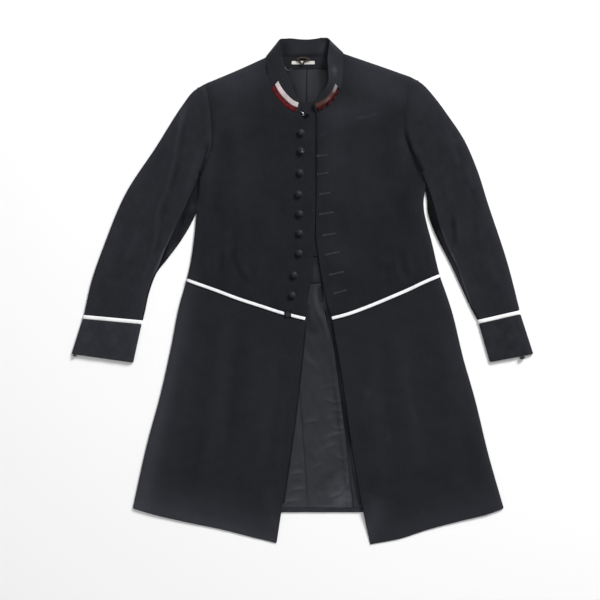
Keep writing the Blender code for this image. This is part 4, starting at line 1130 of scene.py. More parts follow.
# painted shade: the facings are darker than their cloth, as the shade under the skirts' edges, and their
# marks paint light back onto parts of them
FACING_PAINTED_SHADE = -0.14
FACING_PAINTED_LIGHT = [
    # from x, y, to x, y, bend, half width, paler by
    (98, -326, 116, -412, 0, 6, 0.75),
    (110, -394, 128, -464, 0, 5, 0.45),
    (80, -160, 96, -262, 0, 3.5, 0.30),
    (46, -2, 52, -50, 0, 3, 0.55),
]
FELLED_EDGES = []


def skirt_facing(side):
    """A straight strip between two copies of the skirt's free edge, one hidden and one that shows."""
    edge = smooth_line(SKIRT_EDGE[side], FACING_START + FACING_LONG * np.linspace(0, 1, 160))
    hidden, shown = edge + [SIGN[side] * FACING_HIDES, 0], edge - [SIGN[side] * FACING_SHOWS, 0]
    flat = ruled(hidden, shown, np.linspace(0, 1, 10))
    height = upper_face(flat) - FRONT_WALL - FACING_WALL
    height[:, 7:] = height[:, 6:7] - np.array(FACING_FALL)
    height += 0.15 * drift(flat, 20, 21)
    grid = raised(flat, np.maximum(height, FACING_LEAST))
    FELLED_EDGES.append(grid[:, -2] + [0, 0, 0.05])
    grid = outward(grid)
    name = f"skirt_facing_{side}"
    obj = piece(name, [cloth_wall(grid, FACING_WALL)], INNER_WOOL, [name])
    wear_and_painted_light(obj, lambda points: relief(points, FACING_PAINTED_LIGHT) + FACING_PAINTED_SHADE)


for side in ("left", "right"):
    skirt_facing(side)

# Waist piping: white cloth bands sewn into both waist seams, flat-folded with a low crown. A dark
# keeper of the coat's cloth crosses the left one.
PIPING_RISE = 1.1
PIPING_BULGE = 0.85  # 1 would be a full half ellipse
PIPING_SUNK = 0.2
PIPING_WALL = 1.6
PIPING_WHITE = (0.86, 0.86, 0.87)
PIPING_SOILED = (0.72, 0.71, 0.70)


def white_cloth(name, base, soiled, pitch=0.0009, pale=None):
    """Ribbed cloth: fine ribs across each other and faint soiling, paler where the piece's marks say."""
    made, nodes, links, shader = nodes_of(name)
    spots = noise(nodes, links, coordinates(nodes, links), scale=60.0, detail=4.0, rough=0.6)
    colour = blend_colours(nodes, links, spots, soiled, base, 0.22, 0.48)
    links.new(colour_with_wear_and_painted_light(nodes, links, colour, pale or base), shader.inputs["Base Color"])
    under = None
    for turn in (20, 110):
        lines = ribs(nodes, links, coordinates(nodes, links, turn=np.radians(turn)), pitch)
        under = bump(nodes, links, lines, distance=0.0001, below=under)
    links.new(under, shader.inputs["Normal"])
    gloss(shader, roughness=0.85, specular=0.3, sheen=0.1)
    return made


WHITE_PIPING = white_cloth("white_piping", PIPING_WHITE, PIPING_SOILED)


def crown(shares):
    """How far a piping stands off the cloth at shares of its width: a low half ellipse whose edges are
    sunk a little."""
    return PIPING_RISE * np.sqrt(1 - PIPING_BULGE * (2 * shares - 1) ** 2) - PIPING_SUNK


def waist_piping(side):
    """A narrow strip along the waist seam with a crown across it."""
    lower, upper = (waist_line(side, k * PIPING_WIDTH, np.linspace(0, 1, 150)) for k in (-0.5, 0.5))
    shares = np.linspace(0, 1, 13)
    flat = drawn_in(ruled(lower, upper, shares), PIPING_WALL / 2 + 0.1)
    grid = outward(on_cloth(flat, crown(shares[None]), piped=True))
    name = f"waist_piping_{side}"
    obj = piece(name, [cloth_wall(grid, PIPING_WALL, at_folds(grid))], WHITE_PIPING, [name])


for side in ("left", "right"):
    waist_piping(side)

KEEPER_WALL = 0.9
KEEPER_X = (-38.4, -25.0)
KEEPER_Y = (-58.5, -43.0)
KEEPER_CROSSES = (-32, -50.5)  # a point of the waist seam under its middle
SEAM_SLOPE = 0.25  # of that seam there, down to the right
KEEPER_FOLDS = 3  # half-round ones, side by side
FOLDS_START = -37  # x of the first
FOLDS_WIDE = 10.5  # the width of all of them
FOLDS_HIGH = 0.5
keeper_x, keeper_y = np.meshgrid(np.linspace(*KEEPER_X, 46), np.linspace(*KEEPER_Y, 36))
keeper_flat = np.stack([keeper_x, keeper_y], axis=-1)
from_seam = keeper_y - KEEPER_CROSSES[1] + SEAM_SLOPE * (keeper_x - KEEPER_CROSSES[0])
over_piping = np.exp(-((from_seam / 6) ** 6))
folds = FOLDS_HIGH * np.abs(np.sin((keeper_x - FOLDS_START) / FOLDS_WIDE * KEEPER_FOLDS * np.pi))
keeper_grid = on_cloth(keeper_flat, KEEPER_WALL + folds + PIPING_RISE * over_piping, piped=True)
# painted highlights on the tops of the keeper's three folds; the whole keeper is painted a little darker than
# the coat's cloth
KEEPER_FOLD_HIGHLIGHTS = [
    # from x, y, to x, y, bend, half width, paler by
    (-35, -44, -35, -58, 0, 1.3, 0.75),
    (-31.5, -43, -31.5, -59, 0, 1.4, 0.90),
    (-28.4, -44, -28.4, -59, 0, 1.2, 0.70),
]
keeper = piece("piping_loop", [cloth_wall(keeper_grid, KEEPER_WALL)], OUTER_WOOL, ["piping_loop"])
wear_and_painted_light(keeper, lambda points: relief(points, KEEPER_FOLD_HIGHLIGHTS) - 0.15)

# Sleeves: a top sleeve set into the armhole with a little fullness, and an under sleeve whose inner edge
# rolls up over the fold to the front seam. Both are the coat's wool; the under sleeve's is painted darker, as
# the shade under the arms.
UNDER_WALL = 2.2
OUTER_START = 0.03  # shares of the outer fold that the cap's top and its foot lie across from
OUTER_SPLIT = 0.39
UNDER_SPLIT = 0.44
SEAM_INSET = 3.0  # how far the front seam ends from the inner fold
SLEEVE_HEAD = 1.1  # the height of the roll of fullness beside the armhole
HEAD_AWAY = 10.0  # from the armhole to the top of that roll
HEAD_HALF = 7.0  # half its width
UNDER_DROP = 0.6  # how much lower than the top sleeve the under sleeve rolls
UNDER_DROP_MORE = 0.8  # and how much more beside the front seam
CAP_ROWS = 70
SEAM_ROWS = 144
UNDER_ROWS = 110
BASE_CAP_ROWS = 54
# how much paler each top sleeve's colour is painted
SLEEVE_PALENESS = {"left": 0.21, "right": 0.165}
# the under sleeves' wool is a darker copy of the coat's: painted shade under the arms. Their levels and marks
# paint light back onto the right one's lower part and lit edges, and add painted shadow lines beside the
# seams
UNDER_SHADE_WOOL = wool("under_sleeve_shade_wool", (0.0040, 0.0042, 0.0052), (0.0058, 0.0061, 0.0074), sheen=0.03)
UNDER_LIGHT_LEVEL = {"left": 0.12, "right": -0.03}
UNDER_LIGHT_AND_SHADE_MARKS = [
    # from x, y, to x, y, bend, half width, paler by
    (300, 100, 372, -60, 0, 9, 0.55),
    (290, 132, 312, 84, 0, 3, 0.20),
    (-268, 108, -290, 76, 0, 5, 0.22),
    (-280, 92, -292, 70, 0, 3, 0.30),
    (-288, 104, -312, 46, 0, 2.4, -0.40),
    (-236, 150, -262, 110, 0, 5, 0.25),
    (-232, 190, -240, 168, 0, 6, 0.16),
    (-226, 246, -262, 150, 0, 5, -0.10),
    (-250, 170, -262, 140, 0, 4, -0.12),
]


def to_cuff(line, shares, corner):
    """The line, led to a corner of the cuff over the last tenth of its length."""
    return line + soft_step((shares - 0.9) / 0.1)[:, None] * (corner - line[-1])


def sleeve_rows(side, seam_count=SEAM_ROWS):
    """(seam side, outer fold) points of each row across the top sleeve, from the cap's tip down."""
    down_cap, down_seam = np.linspace(0, 1, CAP_ROWS), np.linspace(0, 1, seam_count)
    beside_cap = OUTER_START + (OUTER_SPLIT - OUTER_START) * down_cap
    beside_seam = OUTER_SPLIT + (1 - OUTER_SPLIT) * down_seam[1:]
    outer = smooth_line(SLEEVE_OUTER[side], np.concatenate([beside_cap, beside_seam]))
    end, inner_end = cuff_lines(side)[0]
    outer[-1] = end
    seam_end = inner_end + SEAM_INSET * (end - inner_end) / np.linalg.norm(end - inner_end)
    seam = to_cuff(smooth_line(SLEEVE_SEAM[side], down_seam), down_seam, seam_end)
    return np.concatenate([even_line(ARMHOLE[side][::-1], CAP_ROWS), seam[1:]]), outer


def sleeve_top(side):
    """A straight strip between the seam side and the outer fold, with the sleeve head's roll."""
    seam, outer = sleeve_rows(side)
    flat = drawn_in(ruled(seam, outer, crowded(60, 0.6)), SEWN_IN)
    off, _ = to_lines(flat, [even_line(ARMHOLE[side], 40)])
    inward, _ = to_lines(flat, FOLDS)
    head = SLEEVE_HEAD * np.exp(-(((off - HEAD_AWAY) / HEAD_HALF) ** 2)) * soft_step(inward / 12)
    grid = outward(on_cloth(flat, head))
    name = f"sleeve_top_{side}"
    obj = piece(name, [cloth_wall(grid, FRONT_WALL, at_folds(grid))], OUTER_WOOL, [name])
    wear_and_painted_light(obj, wool_wear_and_painted_light(SLEEVE_PALENESS[side], margins=0.24, reach=14.0, uneven=0.022))


def sleeve_under(side):
    """One layer flat on the surface, and the roll beside the front seam, a little lower than the top."""
    cuff_outer, cuff_inner = cuff_lines(side)[0]
    v = np.linspace(0, 1, UNDER_ROWS)
    inner = to_cuff(smooth_line(SLEEVE_INNER[side], v), v, cuff_inner)
    seam = sleeve_rows(side, UNDER_ROWS)[0][CAP_ROWS - 1:]
    across = np.linspace(0, 1, 26)
    roll = ruled(inner, seam, across)
    near_armhole = np.exp(-v * 14)[:, None, None]
    roll += near_armhole * (smooth_line(LOWER_ARMHOLE[side], across)[None] - roll[:1])
    grid = on_cloth(drawn_in(roll, SEWN_IN))
    drop = UNDER_DROP + UNDER_DROP_MORE * across[None]
    grid[..., 2] -= drop * soft_step((grid[..., 2] - 3.2) / 3)
    grid = outward(grid)

    beside_cap = OUTER_START + (OUTER_SPLIT - OUTER_START) * np.linspace(0, 1, BASE_CAP_ROWS)
    outer_shares = np.concatenate([beside_cap, UNDER_SPLIT + (1 - UNDER_SPLIT) * v])
    outer = shifted(smooth_line(SLEEVE_OUTER[side], outer_shares), -SIGN[side] * FOLD_CLEAR)
    cap = even_line(ARMHOLE[side][::-1], BASE_CAP_ROWS)
    low = np.concatenate([cap, shifted(inner, SIGN[side] * FOLD_CLEAR)])
    to_low = low[-1] - cuff_outer
    outer[-1] = cuff_outer + FOLD_CLEAR * to_low / np.linalg.norm(to_low)
    wide = np.linalg.norm(low - outer, axis=1) > 8
    flat = drawn_in(ruled(outer[wide], low[wide], np.linspace(0, 1, 20)), BACK_INSET)
    base = outward(raised(flat, FLOOR_LIFT), up=False)
    base_points, base_faces = cloth_wall(base, UNDER_WALL)
    # a corner of the base turns over at the sleeve head, so what would go below it is folded up
    base_points[:, 2] = FLOOR_LIFT + np.abs(base_points[:, 2] - FLOOR_LIFT)

    name = f"sleeve_under_{side}"
    parts = [cloth_wall(grid, UNDER_WALL, at_folds(grid)), (base_points, base_faces)]
    obj = piece(name, parts, UNDER_SHADE_WOOL, [name])
    wear_and_painted_light(obj, lambda points: UNDER_LIGHT_LEVEL[side] + relief(points, UNDER_LIGHT_AND_SHADE_MARKS))


for side in ("left", "right"):
    sleeve_top(side)
    sleeve_under(side)

# Cuffs: plain turned-up cuffs of the coat's wool, each with a white band at its top and one covered
# button behind, seen past the hem.
CUFF_WALL = 2.2
CUFF_ROWS = 26
CUFF_INSET = 2.0  # how far the lower face stands inside the upper one
# how much paler each cuff's colour is painted
CUFF_PALENESS = {"left": 0.40, "right": 0.22}


def round_band(name, lines, shares, wall, finish, rise=0.0):
    """A flattened band round the sleeve: an upper face on the cloth and a lower one on the surface,
    between two (outer fold, inner fold) lines."""
    v = shares[:, None, None]
    u = crowded(60, 0.7)[None, :, None]
    first, last = lines
    flat = (1 - v) * ((1 - u) * first[0] + u * first[1]) + v * ((1 - u) * last[0] + u * last[1])
    flat = drawn_in(flat, wall / 2 + 0.1)
    upper = outward(on_cloth(flat, rise))
    lower = outward(raised(drawn_in(flat, CUFF_INSET), FLOOR_LIFT), up=False)
    parts = [cloth_wall(upper, wall, at_folds(upper)), cloth_wall(lower, wall)]
    obj = piece(name, parts, finish, [name])
    return obj


for side in ("left", "right"):
    piping_top, piping_end = cuff_lines(side)
    hem = np.array(CUFF_END[side], float)
    shares = np.linspace(0, 1, CUFF_ROWS)
    cuff = round_band(f"cuff_{side}", (piping_end, hem), shares, CUFF_WALL, OUTER_WOOL)
    wear_and_painted_light(cuff, wool_wear_and_painted_light(CUFF_PALENESS[side], margins=0.20, reach=12.0, uneven=0.055))
    name, lines, shares = f"cuff_piping_{side}", (piping_top, piping_end), np.linspace(0, 1, 13)
    rise = crown(shares[:, None])
    round_band(name, lines, shares, PIPING_WALL, WHITE_PIPING, rise)

# Collar: a low stand band of the coat's wool. Its front ends stand open and its back lies flat behind
# the neck. Two narrow strips of cloth are sewn on at each front end, and a wire hook closes it. A
# short bent wire stands inside it at the left.
COLLAR_WALL = 2.2
COLLAR_FREE = {
    "left": [(-5, 400), (-15, 420), (-27, 446), (-35, 466), (-41, 487), (-46, 508), (-51, 531)],
    "right": [(24, 401), (34, 413), (50, 434), (57, 455), (55, 479), (55, 502), (59, 533)],
}
COLLAR_RISE = {
    # share of the front part, height of the free edge
    "left": [(0, 11), (0.3, 15), (0.7, 18), (1, 15)],
    "right": [(0, 14), (0.3, 25), (0.7, 30), (1, 20)],
}
COLLAR_BACK = [(-43, 542), (-24, 542.4), (6, 540), (30, 542), (50, 545)]
COLLAR_BACK_SHARES = [0.06, 0.22, 0.4, 0.6, 0.78, 0.94]
COLLAR_BACK_CURL = [0.6, 0.4, 0.0, 0.0, 0.4, 0.6]  # the free edge's height there
COLLAR_FOOT = 0.3  # the seam's height at the back
COLLAR_LEAST = 0.05
COLLAR_FADE = 0.25
COLLAR_TURN = {
    # seam x, y, z and free edge x, y, z where the band turns from the front to the back of the neck
    "left": [(-78.2, 505, 3.6, -52, 536.5, 9), (-76, 505.4, 0.6, -49, 540.8, 4)],
    "right": [(87.4, 513, 3.6, 59, 538, 12), (85.4, 513.4, 0.6, 56, 543, 5)],
}


def collar_half(side):
    """The band's seam and free edge beside one front."""
    shares = np.linspace(0, 1, 8)
    seam = shifted(smooth_line(NECK_FRONT[side], shares), SIGN[side] * SEAM)
    rise = np.array(COLLAR_RISE[side])
    return on_cloth(seam), raised(smooth_line(COLLAR_FREE[side], shares), np.interp(shares, *rise.T))


def collar_face(count=190, rows=18):
    """Outer face of the band. Its seam and its free edge are two smooth lines over one parameter, and it
    bows out between them where it stands."""
    left, right = collar_half("left"), collar_half("right")
    turn = {name: np.array(row) for name, row in COLLAR_TURN.items()}
    back_seam = raised(smooth_line(NECK_BACK, COLLAR_BACK_SHARES), COLLAR_FOOT)
    back_free = raised(smooth_line(COLLAR_BACK, COLLAR_BACK_SHARES), np.array(COLLAR_BACK_CURL))
    lines = []
    for k, back in ((0, back_seam), (1, back_free)):
        part = slice(3 * k, 3 * k + 3)
        around_back = [turn["left"][:, part], back, turn["right"][::-1, part]]
        lines.append(np.concatenate([left[k], *around_back, right[k][::-1]]))
    steps = np.linalg.norm(np.diff(lines, axis=1), axis=2).mean(axis=0)
    at = np.concatenate([[0], np.cumsum(steps)])
    along = np.linspace(0, at[-1], count)
    seam, free = (cubic_line(line, at, along) for line in lines)
    s = np.linspace(0, 1, rows)[:, None, None]
    grid = (1 - s) * seam + s * free
    s = s[..., 0]
    stands = soft_step((free[None, :, 2] - 6) / 8)
    grid[..., 2] += 1.5 * np.sin(np.pi * s) * stands
    ripple = 0.35 * drift(np.stack([along[None] + 0 * s, 40 * s + 0 * along[None]], axis=-1), 34, 31)
    grid[..., 2] += ripple * np.sin(np.pi * s) * (0.3 + 0.7 * stands)
    grid[..., 2] = np.maximum(grid[..., 2], COLLAR_LEAST)
    return grid


COLLAR_GRID = collar_face()[:, ::-1]
collar = piece("collar", [cloth_wall(COLLAR_GRID, COLLAR_WALL)], OUTER_WOOL, ["collar"])
wear_and_painted_light(collar, lambda points: COLLAR_FADE + relief(points, WOOL_LIGHT_AND_WEAR_MARKS))

STRIPE_WALL = 0.7
STRIPE_FOOT = 1.5  # the first strip's distance from the seam
STRIPE_GAP = 0.6
STRIPE_WIDTH = {"left": 9.5, "right": 8.0}
STRIPE_LONG = {"left": (8, 83), "right": (4, 73)}  # from the collar's front end, along the band
STRIPE_RIBS = 0.0007
WHITE_RIBS = {"pitch": STRIPE_RIBS, "pale": (0.74, 0.62, 0.62)}
TAN_RIBS = {"pitch": STRIPE_RIBS, "pale": (0.22, 0.20, 0.19)}
RED_NAP = {"sheen": 0.01, "pale": (0.300, 0.034, 0.040)}
OFF_WHITE = white_cloth("off_white_stripe", (0.54, 0.49, 0.48), (0.34, 0.31, 0.30), **WHITE_RIBS)
# the right end's strips are given darker colours than the left end's
TAN_STRIPE = white_cloth("tan_stripe", (0.072, 0.027, 0.022), (0.040, 0.012, 0.0105), **TAN_RIBS)
DARK_RED = wool("dark_red_stripe", (0.036, 0.0030, 0.0048), (0.094, 0.0120, 0.0150), **RED_NAP)
DULL_RED = wool("dull_red_stripe", (0.024, 0.0036, 0.0046), (0.052, 0.0110, 0.0120), **RED_NAP)
# how much paler each end's red strip is painted
RED_PALENESS = {"left": 0.15, "right": 0.03}
STRIPE_EDGES = []
STRIPE_MARKS = [
    # from x, y, to x, y, bend, half width, paler by
    (-56, 446, -36, 420, 0, 9, 1.0),
    (77, 452, 66, 424, 0, 5, 1.0),
    (60, 418, 48, 402, 0, 3, 0.3),
]


def sampled(grid, rows, columns):
    """Points between the grid's own, at real row and column numbers."""
    i, j = np.floor(rows).astype(int), np.floor(columns).astype(int)
    i, j = np.clip(i, 0, grid.shape[0] - 2), np.clip(j, 0, grid.shape[1] - 2)
    a, b = (rows - i)[..., None], (columns - j)[..., None]
    low = (1 - b) * grid[i, j] + b * grid[i, j + 1]
    high = (1 - b) * grid[i + 1, j] + b * grid[i + 1, j + 1]
    return (1 - a) * low + a * high


def collar_stripe(side, first, colour, finish):
    """A strip of cloth on the band's outer face, between two distances from the seam."""
    face = COLLAR_GRID if side == "right" else COLLAR_GRID[:, ::-1]
    run = run_of(face[0])
    columns = np.interp(np.linspace(*STRIPE_LONG[side], 60), run, np.arange(len(run)))
    reach = np.interp(columns, np.arange(len(run)), np.linalg.norm(face[-1] - face[0], axis=1))
    across = first + STRIPE_WIDTH[side] * np.linspace(0, 1, 12)
    rows = np.minimum(across[:, None] / np.maximum(reach, 1), 0.97) * (face.shape[0] - 1)
    grid = sampled(face, rows, columns[None] + 0 * rows)
    out = np.cross(np.gradient(grid, axis=1), np.gradient(grid, axis=0))
    out *= np.sign(out[..., 2:])
    out /= np.linalg.norm(out, axis=2)[..., None]
    grid = grid + out * (STRIPE_WALL + 0.1)
    STRIPE_EDGES.extend([grid[1, 2:-2], grid[-2, 2:-2]])
    grid = outward(grid)
    name = f"collar_stripe_{colour}_{side}"
    obj = piece(name, [cloth_wall(grid, STRIPE_WALL)], finish, [name])
    if colour == "light":
        wear_and_painted_light(obj, lambda points: relief(points, STRIPE_MARKS))
    else:
        wear_and_painted_light(obj, lambda points: RED_PALENESS[side] + 0.15 * drift(points, 9, 61) + 0.10 * drift(points, 3.5, 62))


for side, red, light, light_slot in (
    ("left", DARK_RED, OFF_WHITE, "white_cord"),
    ("right", DULL_RED, TAN_STRIPE, "tan_cloth"),
):
    collar_stripe(side, STRIPE_FOOT, "red", red)
    collar_stripe(side, STRIPE_FOOT + STRIPE_WIDTH[side] + STRIPE_GAP, "light", light)


def beside_and_up(way):
    """Unit vectors that stand across each direction, flat to its side and above it."""
    beside = np.cross(way, [0, 0, 1.0])
    beside /= np.maximum(np.linalg.norm(beside, axis=1), 1e-6)[:, None]
    return beside, np.cross(beside, way)


def ring_faces(rings, around, closed=False):
    """The faces between neighbouring rings of points, and one across each end unless it is closed."""
    ring = np.arange(rings if closed else rings - 1)[:, None] * around
    after = (ring + around) % (rings * around)
    k = np.arange(around)[None]
    n = (k + 1) % around
    faces = np.stack([ring + k, after + k, after + n, ring + n], axis=-1).reshape(-1, 4)
    return [faces] if closed else [faces, k, (rings - 1) * around + k[:, ::-1]]


END_RADII = np.array([0.35, 0.75, 0.95])  # a cord's end is rounded off by three rings of these radii
END_SHIFTS = np.array([0.95, 0.65, 0.3])  # which stand this far out, in radii


def tube(line, radius, around=12, closed=False):
    """A round cord along a line. Its rings stand across the line, with their first point upwards where
    it lies flat, and both ends are rounded off unless it is closed. The radius may change along it."""
    radius = np.broadcast_to(np.asarray(radius, float), len(line)).copy()
    if closed:
        way = np.roll(line, -1, axis=0) - np.roll(line, 1, axis=0)
    else:
        way = np.gradient(line, axis=0)
        line, way = (
            np.concatenate([rows[:1] + 0 * rows[:3], rows[1:-1], rows[-1:] + 0 * rows[:3]])
            for rows in (line, way)
        )
        radius = np.concatenate([radius[0] * END_RADII, radius[1:-1], radius[-1] * END_RADII[::-1]])
        shift = np.zeros(len(line))
        shift[:3] = -radius[3] * END_SHIFTS
        shift[-3:] = radius[-4] * END_SHIFTS[::-1]
        line = line + way / np.linalg.norm(way, axis=1)[:, None] * shift[:, None]
    way = way / np.linalg.norm(way, axis=1)[:, None]
    beside, up = beside_and_up(way)
    angle = np.linspace(0, 2 * np.pi, around, endpoint=False)[None, :, None]
    round_it = np.cos(angle) * up[:, None] + np.sin(angle) * beside[:, None]
    points = line[:, None] + radius[:, None, None] * round_it
    return points.reshape(-1, 3), *ring_faces(len(line), around, closed)


def metal(name, colour, roughness):
    """Worn bright wire: metal with fine dull patches."""
    made, nodes, links, shader = nodes_of(name)
    patches = noise(nodes, links, coordinates(nodes, links), scale=700.0, detail=3.0)
    dull = tuple(0.6 * channel for channel in colour)
    links.new(blend_colours(nodes, links, patches, colour, dull), shader.inputs["Base Color"])
    shader.inputs["Metallic"].default_value = 1.0
    shader.inputs["Roughness"].default_value = roughness
    return made


HOOK_RADIUS = 0.8
HOOK = [
    # x, y, height over the cloth
    (-3.6, 385, 1.6), (-1, 383.5, 2.2), (2, 380, 2.4), (3, 377, 1.7), (0, 377, 1.3),
]
HOOK_WIRE = metal("hook_wire", (0.62, 0.60, 0.56), roughness=0.32)
hook_base = float(upper_face(np.array([[0.0, 378.0]]))[0])
hook_line = even_line([(x, y, hook_base + rise) for x, y, rise in HOOK], 40)
piece("collar_hook", [tube(hook_line, HOOK_RADIUS)], HOOK_WIRE, ["collar_hook"])
TAB_RADIUS = 1.4
TAB = [(-38, 481, 5.0), (-34, 475, 5.3), (-30, 473, 5.5), (-24, 477, 5.0)]
TAB_WIRE = metal("tab_metal", (0.085, 0.085, 0.096), roughness=0.50)
piece("neck_tab", [tube(even_line(TAB, 50), TAB_RADIUS)], TAB_WIRE, ["neck_tab"])

# Label and hanger: a bare woven tape sewn to the neck, and a brown cord loop above it to hang the
# coat by.
TAPE = [(494.5, -23, 26.4), (487, -24, 26.6)]  # y, left end, right end
TAPE_WALL = 0.5
TAPE_RISE = 1.4
LABEL_WHITE = white_cloth("label_white", (0.66, 0.65, 0.62), (0.45, 0.43, 0.40), pitch=0.0006)
tape_grid = strip_grid(TAPE, 1, 2, 10, 50)
tape_grid = outward(raised(tape_grid, PANEL_TOP + TAPE_RISE + 0.15 * drift(tape_grid, 14, 41)))
label = piece("label_tape", [cloth_wall(tape_grid, TAPE_WALL)], LABEL_WHITE, ["label_tape"])
HANGER = [
    (-2, 486.5, 6.2), (-4.5, 491, 6.8), (-9, 494.5, 7.0), (-11, 497.5, 7.0), (-6.5, 500.3, 7.0),
    (1, 501, 7.0), (8.6, 499.8, 7.0), (15, 496.8, 7.0), (9, 494.6, 7.0), (3.5, 492, 6.8), (1, 486.5, 6.2),
]
HANGER_RADIUS = 1.95
HANGER_TWISTS = 26
HANGER_ROWS = 180
BROWN = white_cloth("brown_cord", (0.040, 0.025, 0.018), (0.014, 0.009, 0.0065), pitch=0.0008)
twist = HANGER_RADIUS + 0.2 * np.sin(np.linspace(0, 2 * np.pi * HANGER_TWISTS, HANGER_ROWS))
hanger = tube(even_line(HANGER, HANGER_ROWS), twist, around=14)
piece("hanger_loop", [hanger], BROWN, ["hanger_loop"])

# Buttons: nine domed buttons down the left front and one behind each cuff. Each is a mould covered in
# ribbed black silk, sewn on through a narrow foot.
BUTTONS = [(-3, 340), (-3, 301), (-5, 254), (-8, 208), (-6, 166), (-6, 124), (-7, 81), (-18, 34), (-22, -9)]
WORN_BUTTON = 2
WORN_SPOT_GLINT = (-2.5, 298.3, 2.0, 298.3, 0, 1.5, 1.0)  # its silk is rubbed through there, and its pale spot is a painted glint of the metal under it
BUTTON_RADIUS = 7.6
BUTTON_HEIGHT = 8.6
BUTTON_OFF = 0.2  # how far its foot stands off the cloth
RIBS = 14
RIB_DEPTH = 0.012  # share of the radius
CUFF_BUTTONS = {"left": (0.06, 4.6, 3.6), "right": (0.27, 6.0, 6.0)}  # share of the hem, radius, height
BUTTON_PROFILE = [
    # share of the radius, share of the height
    (0.10, 1.00), (0.22, 0.995), (0.34, 0.98), (0.46, 0.955), (0.58, 0.915), (0.69, 0.86), (0.79, 0.79),
    (0.88, 0.70), (0.95, 0.60), (0.99, 0.50), (1.00, 0.42), (0.985, 0.34), (0.94, 0.27), (0.86, 0.22),
    (0.74, 0.19), (0.55, 0.17), (0.38, 0.12), (0.35, 0.0),
]


def button_shape(radius, height, around=56):
    """A covered button about its own Z axis: a domed profile turned once, with shallow wound ribs that die
    away at the crown."""
    profile = np.array(BUTTON_PROFILE)
    angle = np.linspace(0, 2 * np.pi, around, endpoint=False)
    rib = 1 + RIB_DEPTH * np.sin(RIBS * angle)[None] * soft_step((profile[:, :1] - 0.3) / 0.4)
    r = radius * profile[:, :1] * rib
    points = np.stack([r * np.cos(angle), r * np.sin(angle), height * profile[:, 1:] + 0 * r], axis=-1)
    return points.reshape(-1, 3), *ring_faces(len(profile), around)


def silk(name):
    """Black silk over a mould: fine crossed threads and a soft gloss."""
    made, nodes, links, shader = nodes_of(name)
    place = coordinates(nodes, links)
    worn = noise(nodes, links, place, scale=380.0, detail=3.0)
    colour = blend_colours(nodes, links, worn, (0.0078, 0.0084, 0.0108), (0.0108, 0.0117, 0.0146))
    links.new(colour_with_wear_and_painted_light(nodes, links, colour, (0.20, 0.20, 0.20)), shader.inputs["Base Color"])
    under = None
    for direction in ("X", "Y"):
        threads = ribs(nodes, links, place, 0.0008, direction)
        under = bump(nodes, links, threads, distance=0.00006, below=under)
    links.new(under, shader.inputs["Normal"])
    gloss(shader, roughness=0.42, specular=0.22, sheen=0.1)
    return made


BUTTON_SILK = silk("button_silk")
sewn_on = {"left": [], "right": []}
for number, (x, y) in enumerate(BUTTONS, start=1):
    points, *faces = button_shape(BUTTON_RADIUS, BUTTON_HEIGHT)
    points = points + [x, y, float(upper_face(np.array([[x, y]], float))[0]) + BUTTON_OFF]
    button = piece(f"button_{number}", [(points, *faces)], BUTTON_SILK, [f"button_{number}"])
    sewn_on["left"].append(button)
    if number == WORN_BUTTON:
        wear_and_painted_light(button, lambda points: relief(points, [WORN_SPOT_GLINT]))
for side, (share, radius, depth) in CUFF_BUTTONS.items():
    start, end = np.array(CUFF_END[side], float)
    along = (end - start) / np.linalg.norm(end - start)
    away = -SIGN[side] * np.array([along[1], -along[0]])
    points, *faces = button_shape(radius, depth)
    axes = np.array([[*along, 0], np.cross([*away, 0], [*along, 0]), [*away, 0]])
    turned = points[:, :1] * axes[0] + points[:, 2:] * axes[2]
    turned = turned + points[:, 1:2] * axes[1]
    points = turned + [*(start + share * (end - start) + 0.4 * away), 1.02 * radius]
    piece(f"cuff_button_{side}", [(points, *faces)], BUTTON_SILK, [f"cuff_button_{side}"])

# Buttonholes: ten worked keyhole buttonholes on the right front. The first two, near the neck, were
# hardly used and show only as short marks. Black silk twist over a gimp, an eyelet at the front edge.
BUTTONHOLES = [
    # eyelet x, y, length from it, tilt in degrees
    (39, 369, 6, 8),
    (40, 331.5, 6, 8),
    (32, 289.5, 20, 4),
    (33.5, 250, 21.5, 10),
    (38.5, 207.5, 21, 8),
    (38, 164, 29, 10),
    (44.5, 119, 27, 9),
    (50, 77, 30, 12),
    (58.5, 34, 30, 13),
    (69, -5.5, 27, 15),
]
HOLE_HALF = 0.85  # half the width of the slit
HOLE_EYE = 1.9  # radius of the eyelet
TWIST_RADIUS = 0.78
TWIST_SWELL = 0.22  # of each turn of the thread, four points of the line long


def keyhole(x, y, length, tilt):
    """The worked edge as a closed line: round the eyelet, out along the bar, round its end and back."""
    eye = np.radians(np.linspace(28, 332, 30))
    eye = HOLE_EYE * np.stack([np.cos(eye), np.sin(eye)], axis=1)
    lower = np.stack([np.linspace(HOLE_EYE + 0.2, length - 1, 60), np.full(60, -HOLE_HALF)], axis=1)
    tip = np.radians(np.linspace(-70, 70, 8))
    tip = np.stack([length - 1 + HOLE_HALF * np.cos(tip), HOLE_HALF * np.sin(tip)], axis=1)
    ring = np.concatenate([eye, lower, tip, lower[::-1] * [1, -1], eye[:1]])
    ring = points_at(np.linspace(0, 1, 260)[:-1], share_of(ring), ring)
    cos, sin = np.cos(np.radians(tilt)), np.sin(np.radians(tilt))
    return ring @ np.array([[cos, sin], [-sin, cos]]) + [x, y]


def thread(name, low, high):
    """Silk twist: fine slanting strands and a low gloss."""
    made, nodes, links, shader = nodes_of(name)
    spots = noise(nodes, links, coordinates(nodes, links), scale=500.0)
    links.new(blend_colours(nodes, links, spots, low, high), shader.inputs["Base Color"])
    strands = ribs(nodes, links, coordinates(nodes, links, turn=np.radians(75)), pitch=0.0004)
    links.new(bump(nodes, links, strands, distance=0.00008), shader.inputs["Normal"])
    gloss(shader, roughness=0.55, specular=0.45)
    return made


